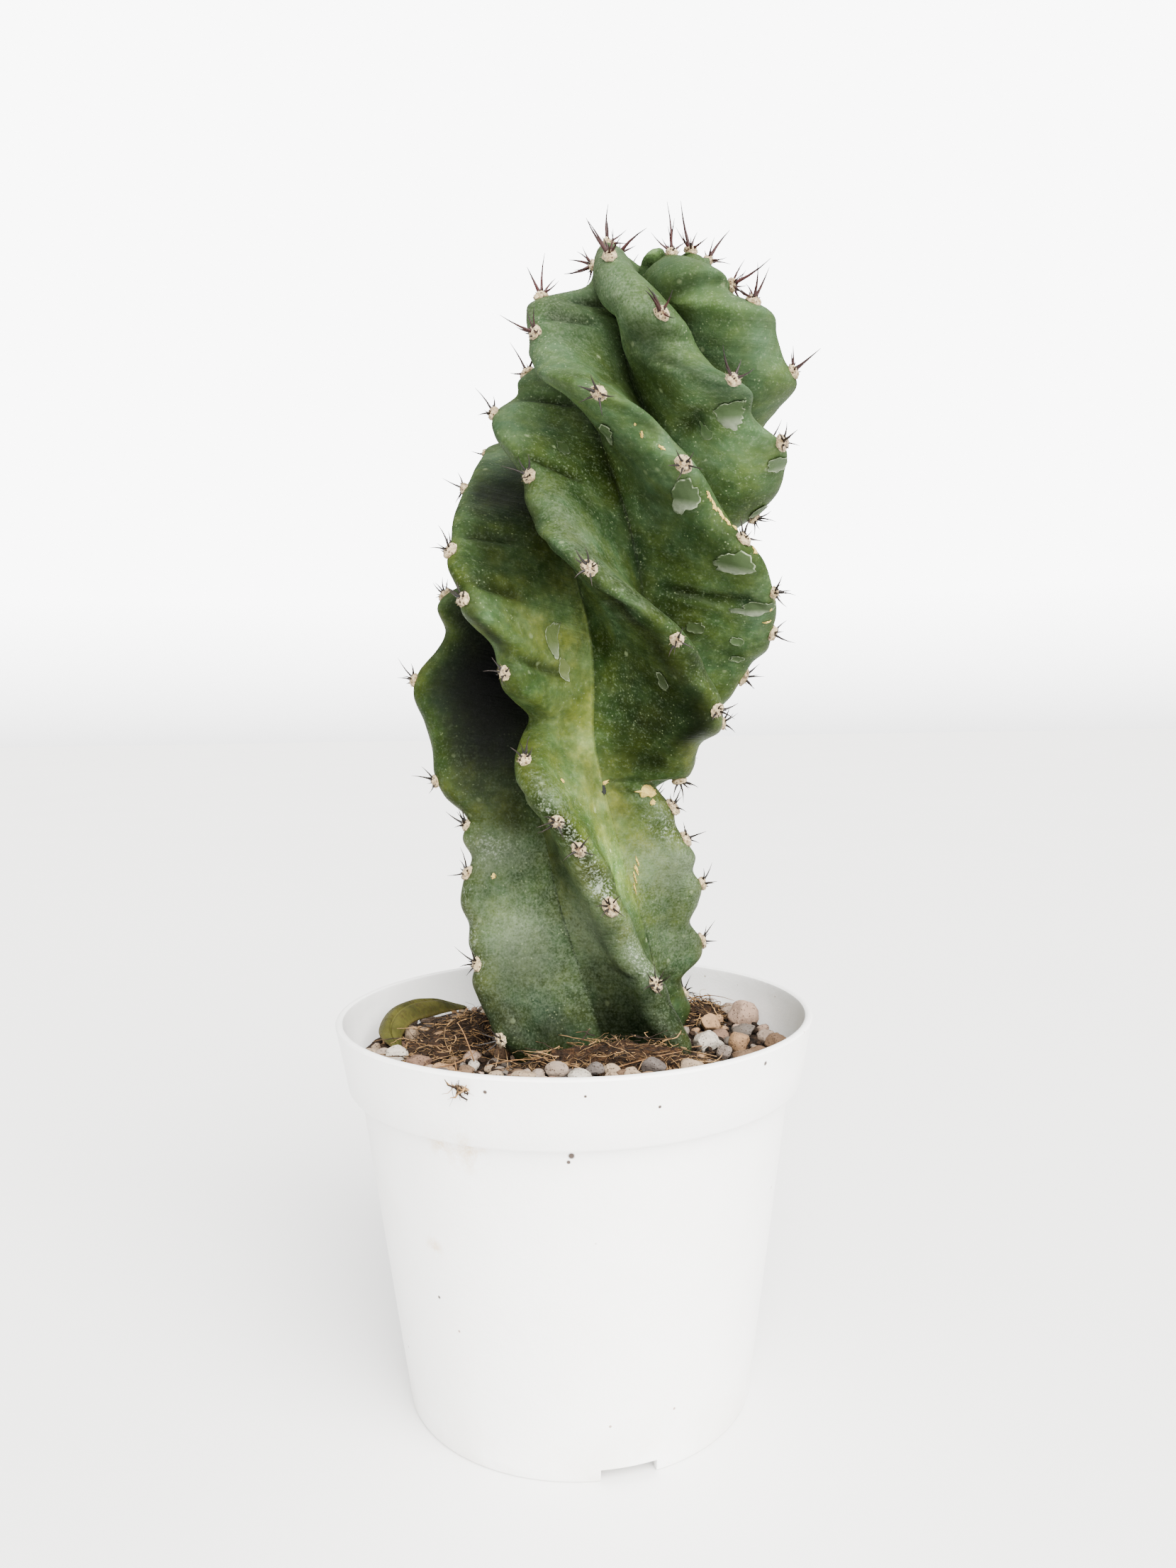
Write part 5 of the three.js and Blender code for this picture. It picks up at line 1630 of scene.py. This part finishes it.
def felt_material():
    made = material("coir_felt", 0.95, 0.15)
    here = place_of(made)
    crumbly = spread(made, cloudy(made, here, 450, 5, 0.7), 0.35, 0.65)
    streaks = cloudy(made, stretched(made, here, (300, 1400, 900)), 1, 3)
    colour = coats(made, tone(12, 8, 5), (crumbly, tone(46, 31, 19)),
                   (spread(made, streaks, 0.52, 0.66, 0, 0.6), tone(78, 54, 32)))
    return finish(made, colour, None, [(cloudy(made, here, 1200, 4), 0.0012), (streaks, 0.0008)])


coir_finish = coir_material("coir", tone(36, 24, 14), tone(174, 136, 90), tone(12, 8, 5))
straw_finish = coir_material("straw", tone(110, 78, 46), tone(168, 138, 98), tone(70, 46, 27))
felt_finish = felt_material()
for tuft in TUFTS:
    tuft["piece"].data.materials.append(coir_finish)
    tuft["mat"].data.materials.append(felt_finish)
straws.data.materials.append(straw_finish)
tangle.data.materials.append(coir_finish)

# %% [markdown]
# ## The dry leaf
# One fallen leaf leans on the pot's wall at the back left. It is leathery, olive and curled. A
# grid is shaped along its midrib: narrow at both ends, drooping to both sides, with a rolled
# edge. A Solidify modifier gives it its thickness.

# %% Leaf blade
LEAF_RIDGE = [(-40, 44, 111.5), (-50, 33, 116.8), (-57.5, 18, 118.4), (-60, 4, 115.5), (-56, -6, 110.5)]
LEAF_HALF_WIDTH, LEAF_THICKNESS = 5.8, 0.6
DROOP, TILT, MIDRIB_DIP, VEIN, CURL = 0.55, 0.25, 0.9, 0.25, 0.8


def leaf_point(t, s):
    """A point of the blade in millimetres: t runs along the midrib, s from -1 to 1 across it."""
    half = LEAF_HALF_WIDTH * math.sin(math.pi * (0.05 + 0.9 * t)) ** 0.8
    at = curve(LEAF_RIDGE, t * (len(LEAF_RIDGE) - 1))
    inward = np.array([-at[0], -at[1], 0]) / math.hypot(at[0], at[1])
    point = at + inward * s * half * 0.8
    veins = VEIN * math.sin(34 * (t + 0.12 * abs(s))) * abs(s) * (1 - abs(s))
    curl = CURL * math.sin(9 * t + 2 * s) * s * s
    point[2] += veins + curl - (DROOP * s + TILT) * half * s - MIDRIB_DIP * math.exp(-((s / 0.12) ** 2))
    return point


leaf = started("leaf_blade", bpy.ops.mesh.primitive_grid_add, x_subdivisions=60, y_subdivisions=22, size=2)
note(leaf.data, "across", points_of(leaf)[:, 1])
for vertex in leaf.data.vertices:
    vertex.co = Vector(leaf_point((vertex.co.x + 1) / 2, vertex.co.y) * MM)
thicken = leaf.modifiers.new("thickness", "SOLIDIFY")
thicken.thickness, thicken.offset = LEAF_THICKNESS * MM, 0
apply_modifiers(leaf)
leaf.data.shade_smooth()
belongs(leaf, "dry_leaf")
print("leaf", len(leaf.data.polygons), "faces")

# %% Leaf material
def leaf_material():
    made = material("dry_leaf", 0.6, 0.08)
    here = place_of(made)
    broad = spread(made, cloudy(made, here, 90, 4), 0.35, 0.65)
    blotches = spread(made, cloudy(made, here, 320, 4, 0.7), 0.52, 0.66, 0, 0.6)
    edge = add(made, "Math", {0: attribute(made, "across")}, operation="ABSOLUTE")
    colour = coats(made, tone(36, 37, 13), (broad, tone(64, 62, 25)), (blotches, tone(40, 30, 14)),
                   (spread(made, edge, 0.8, 1.0, 0, 0.5), tone(80, 70, 36)),
                   (spread(made, edge, 0.0, 0.1, 0.7, 0), tone(84, 82, 40)))
    return finish(made, colour, None, [(cloudy(made, here, 800, 3), 0.0004)])


leaf.data.materials.append(leaf_material())

# %% [markdown]
# ## Marks on the skin
# In places the outermost skin has come loose as a thin clear film, which is whitish where it
# hangs away from the flesh and has a torn pale rim. Old wounds have healed to tan cork. Each is
# a thin scale of its own, laid on the skin: a small disc of rings is wrapped over the ribs
# point by point, so that it follows them.

# %% A scale wrapped over the skin
SCALE_RINGS, SCALE_SIDES, LARGEST_SEED = 8, 40, 99
SCALE_POINTS = SCALE_RINGS * SCALE_SIDES + 1


def skin_directions(i, place, level):
    """How the skin goes with place and level, with its directions out, right and above."""
    over = (skin_point(i, place + 0.03, level) - skin_point(i, place - 0.03, level)) / 0.06
    up = skin_point(i, place, level + 1.0) - skin_point(i, place, level - 1.0)
    out = np.cross(over, up)
    out /= np.linalg.norm(out)
    right = np.array([1.0, 0, 0]) - out * out[0]
    right /= np.linalg.norm(right)
    return over, up / 2.0, right, np.cross(out, right)


def torn_edge(turns, ragged):
    """How far out a ragged edge lies at each turn, about 1."""
    seed = random.uniform(0, LARGEST_SEED)
    rough = [noise.fractal(Vector((1.7 * math.cos(t), 1.7 * math.sin(t), seed)), 0.6, 2.0, 3) for t in turns]
    return [1 + ragged * value for value in rough]


def wrapped_scale(i, place, level, wide, high, lean, lift, ragged):
    """Points of a scale in millimetres, with each point's share of the way out and its height."""
    over, up, right, above = skin_directions(i, place, level)
    to_laws = np.linalg.pinv(np.stack([over, up], 1))
    turns = np.linspace(0, FULL_TURN, SCALE_SIDES, endpoint=False)
    torn = torn_edge(turns, ragged)
    rows, shares, heights = [], [], []
    for ring in range(SCALE_RINGS, 0, -1):
        share = ring / SCALE_RINGS
        x = wide / 2 * share * np.cos(turns) * torn
        y = high / 2 * share * np.sin(turns) * torn
        x, y = x * math.cos(lean) - y * math.sin(lean), x * math.sin(lean) + y * math.cos(lean)
        offset = (x[:, None] * right + y[:, None] * above) @ to_laws.T
        rows.append(skin(i, place + offset[:, 0], level + offset[:, 1], lift(share)))
        shares.append(np.full(SCALE_SIDES, share))
        heights.append(y / (high / 2))
    rows.append(skin(i, place, level, lift(0))[None])
    return np.concatenate(rows), np.append(shares, 0), np.append(heights, 0)


def lay_scales(name, marks, lift, ragged, thickness):
    """One piece of all scales of a kind, from marks that each say where and how large one is."""
    faces = ring_quads(SCALE_RINGS, SCALE_SIDES)
    faces += ring_fan((SCALE_RINGS - 1) * SCALE_SIDES, SCALE_SIDES, SCALE_RINGS * SCALE_SIDES)
    parts, shares, heights, strengths, tints = [], [], [], [], []
    for rib_name, place, level, wide, high, lean, strength in marks:
        i = [rib["name"] for rib in RIBS].index(rib_name)
        points, share, height = wrapped_scale(i, place, level, wide, high, math.radians(lean), lift, ragged)
        spot = i, np.array([place]), np.array([float(level)])
        parts.append((points * MM, faces))
        shares.append(share)
        heights.append(height)
        strengths.append(np.full(SCALE_POINTS, strength))
        # A scale takes the skin's tint, painted shade and painted light at its middle
        tints.append(np.tile(skin_tint(*spot) * painted_light_and_shade(*spot)[:, None], (SCALE_POINTS, 1)))
    piece = piece_of(name, *joined(parts))
    note(piece.data, "share", np.concatenate(shares))
    note(piece.data, "height", np.concatenate(heights))
    note(piece.data, "strength", np.concatenate(strengths))
    paint(piece.data, "tint", np.concatenate(tints))
    wall = piece.modifiers.new("thickness", "SOLIDIFY")
    wall.thickness, wall.offset = thickness, -1
    apply_modifiers(piece)
    piece.data.shade_smooth()
    belongs(piece, "cactus")
    print(name, len(marks), "scales,", len(piece.data.polygons), "faces")
    return piece


# %% Loose films
# Rib, place, level, width, height, lean in degrees, and strength
FILMS = [
    ("A", -0.19, 308.8, 8.2, 8.6, 10, 1.0), ("A", -0.62, 304.0, 4.5, 5.5, 20, 0.15),
    ("D", -0.24, 284.2, 7.6, 11.5, -8, 0.9), ("D", -0.37, 271.1, 12.0, 8.6, 18, 0.75),
    ("D", -0.47, 297.4, 4.5, 14.0, 12, 0.5), ("E", 0.73, 292.3, 4.0, 6.0, 5, 0.25),
    ("A", -0.11, 298.9, 6.5, 6.5, 30, 0.45), ("A", -0.08, 287.5, 7.0, 4.5, 40, 0.5),
    ("F", 0.79, 236.8, 5.0, 11.0, 8, 0.45), ("F", 0.81, 229.2, 3.5, 7.5, 25, 0.2),
    ("D", -0.32, 261.4, 12.5, 4.2, 12, 0.75), ("D", -0.77, 251.3, 6.0, 4.0, 0, 0.1),
    ("D", -0.54, 250.3, 4.2, 3.2, 0, 0.1), ("D", -0.43, 244.2, 4.2, 2.8, 10, 0.1),
    ("E", -0.6, 233.0, 3.5, 7.0, 20, 0.12),
]
random.seed(83)
films = lay_scales("skin_films", FILMS, lambda share: 0.3 + 0.22 * share**6, 0.32, 0.1 * MM)


def film_material():
    made = material("loose_film", 0.5, 0.05)
    share, height = attribute(made, "share"), attribute(made, "height")
    crinkled = cloudy(made, place_of(made), 500, 4)
    loose = times(made, spread(made, height, -0.1, -0.8), attribute(made, "strength"))
    loose = times(made, loose, spread(made, crinkled, 0.3, 0.6, 0.55, 1))
    rim = times(made, spread(made, share, 0.88, 0.97), spread(made, crinkled, 0.42, 0.58, 0.0, 0.65))
    colour = coats(made, attribute(made, "tint", "Color"), (0.1, tone(84, 92, 74)),
                   (loose, tone(112, 120, 102)), (rim, tone(140, 150, 124)))
    return finish(made, colour, spread(made, crinkled, 0.3, 0.7, 0.35, 0.55), [(crinkled, 0.0003)])


films.data.materials.append(film_material())

# %% Corky scars
# The same numbers as for a film, but a scar of strength -1 is dark instead of tan
SCARS = [
    ("D", -0.05, 294.6, 2.2, 1.1, -30, 1.0), ("D", -0.1, 297.0, 1.0, 2.0, 10, 0.7),
    ("D", -0.05, 299.4, 0.8, 1.4, 0, 0.6), ("D", 0.06, 285.6, 1.3, 2.8, 25, 0.9),
    ("D", 0.04, 283.8, 1.3, 3.6, 30, 1.0), ("D", 0.05, 281.9, 1.5, 3.4, 40, 1.0),
    ("D", 0.05, 280.3, 1.7, 3.0, 55, 1.0), ("D", 0.14, 279.4, 2.0, 1.7, 60, 0.9),
    ("D", 0.03, 275.1, 1.8, 2.8, 20, 1.0), ("E", -0.25, 191.2, 7.6, 3.0, 8, 1.0),
    ("E", -0.32, 187.6, 1.9, 1.8, 0, 0.8), ("F", 1.0, 192.5, 1.5, 3.0, 10, -1.0),
    ("E", -0.96, 194.8, 3.4, 1.3, 0, 0.1), ("G", 0.5, 167.6, 1.7, 1.7, 0, 0.4),
    ("E", -0.88, 167.5, 0.6, 3.4, 18, 0.3), ("E", -0.91, 164.6, 0.9, 3.6, 20, 0.5),
    ("E", -0.94, 161.6, 0.7, 3.6, 18, 0.4), ("E", -0.97, 158.4, 0.5, 3.6, 15, 0.3),
    ("F", 0.62, 196.5, 1.6, 1.4, 0, 0.5), ("D", -0.15, 262.0, 1.4, 1.8, 0, 0.8),
    ("D", -0.2, 258.5, 2.6, 1.0, 0, 0.7),
]
scars = lay_scales("scars", SCARS, lambda share: 0.5 - 0.35 * share**2, 0.6, 0.2 * MM)


def scar_material():
    made = material("cork", 0.85, 0.25)
    here = place_of(made)
    rough = cloudy(made, here, 900, 4, 0.7)
    pit = times(made, spread(made, cells(made, here, 500), 0.1, 0.3, 1, 0), 0.6)
    old = spread(made, attribute(made, "strength"), 0.0, -1.0)
    colour = coats(made, tone(140, 116, 54), (spread(made, rough, 0.35, 0.65), tone(190, 168, 92)),
                   (pit, tone(60, 34, 18)), (old, tone(24, 26, 24)))
    return finish(made, colour, None, [(rough, 0.0005)])


scars.data.materials.append(scar_material())

# %% [markdown]
# ## Floor and light
# The object stands on a plain pale floor in a white room. A soft sun, as wide as a window, comes
# from the front right and from above and gives the form its shade. A weaker area lamp fills in
# from the front, and the bright world does the rest.

# %% Floor
floor = started("floor", bpy.ops.mesh.primitive_plane_add, size=24, location=(0, 0, 0))
paper = material("floor_paper", 0.8, 0.2)
finish(paper, mix(paper, cloudy(paper, place_of(paper), 3, 2), (0.80, 0.795, 0.785), (0.84, 0.835, 0.825)))
floor.data.materials.append(paper)

# %% Lights
PLANT_MIDDLE = Vector((0, 0, 0.2))


def aimed(lamp, place):
    """Link a lamp at a place and turn it to the middle of the plant."""
    made = bpy.data.objects.new(lamp.name, lamp)
    bpy.context.collection.objects.link(made)
    made.location = place
    made.rotation_euler = (PLANT_MIDDLE - Vector(place)).to_track_quat("-Z", "Y").to_euler()


window = bpy.data.lights.new("window", "SUN")
window.energy, window.angle = 16, math.radians(60)
window.color = (1.0, 0.985, 0.95)
aimed(window, (0.55, -1.25, 1.25))
room = bpy.data.lights.new("room", "AREA")
room.energy, room.size = 17, 1.6
aimed(room, (0.2, -1.8, 0.7))
print("lights", window.energy, room.energy)

# %% [markdown]
# The room behind is white. Seen by the camera it is bright, and a little less so low down, but
# it must not shine on the plant's edges. So the world has two strengths: one for what the camera
# sees and one for what it lights, which is stronger from above than from below.

# %% World
ROOM_BELOW, ROOM_ABOVE = 0.4, 3.0
HORIZON_SEEN, ROOM_SEEN = 3.6, 9.0
BRIGHTEST = Vector((0.25, -0.35, 0.85)).normalized()
world = bpy.data.worlds.new("studio")
world.use_nodes = True
direction = add(world, "TexCoord", output="Generated")
towards = add(world, "VectorMath", {0: direction, 1: BRIGHTEST}, "Value", operation="DOT_PRODUCT")
ceiling = spread(world, towards, -0.1, 1.0, ROOM_BELOW, ROOM_ABOVE)
upward = add(world, "SeparateXYZ", {0: direction}, "Z")
backdrop = spread(world, upward, -0.02, 0.1, HORIZON_SEEN, ROOM_SEEN)
camera_sees = add(world, "LightPath", output="Is Camera Ray")
background = world.node_tree.nodes["Background"]
background.inputs["Color"].default_value = (1, 1, 1, 1)
strength = spread(world, camera_sees, 0, 1, ceiling, backdrop)
world.node_tree.links.new(strength, background.inputs["Strength"])
bpy.context.scene.world = world
print("world", len(world.node_tree.nodes), "nodes")
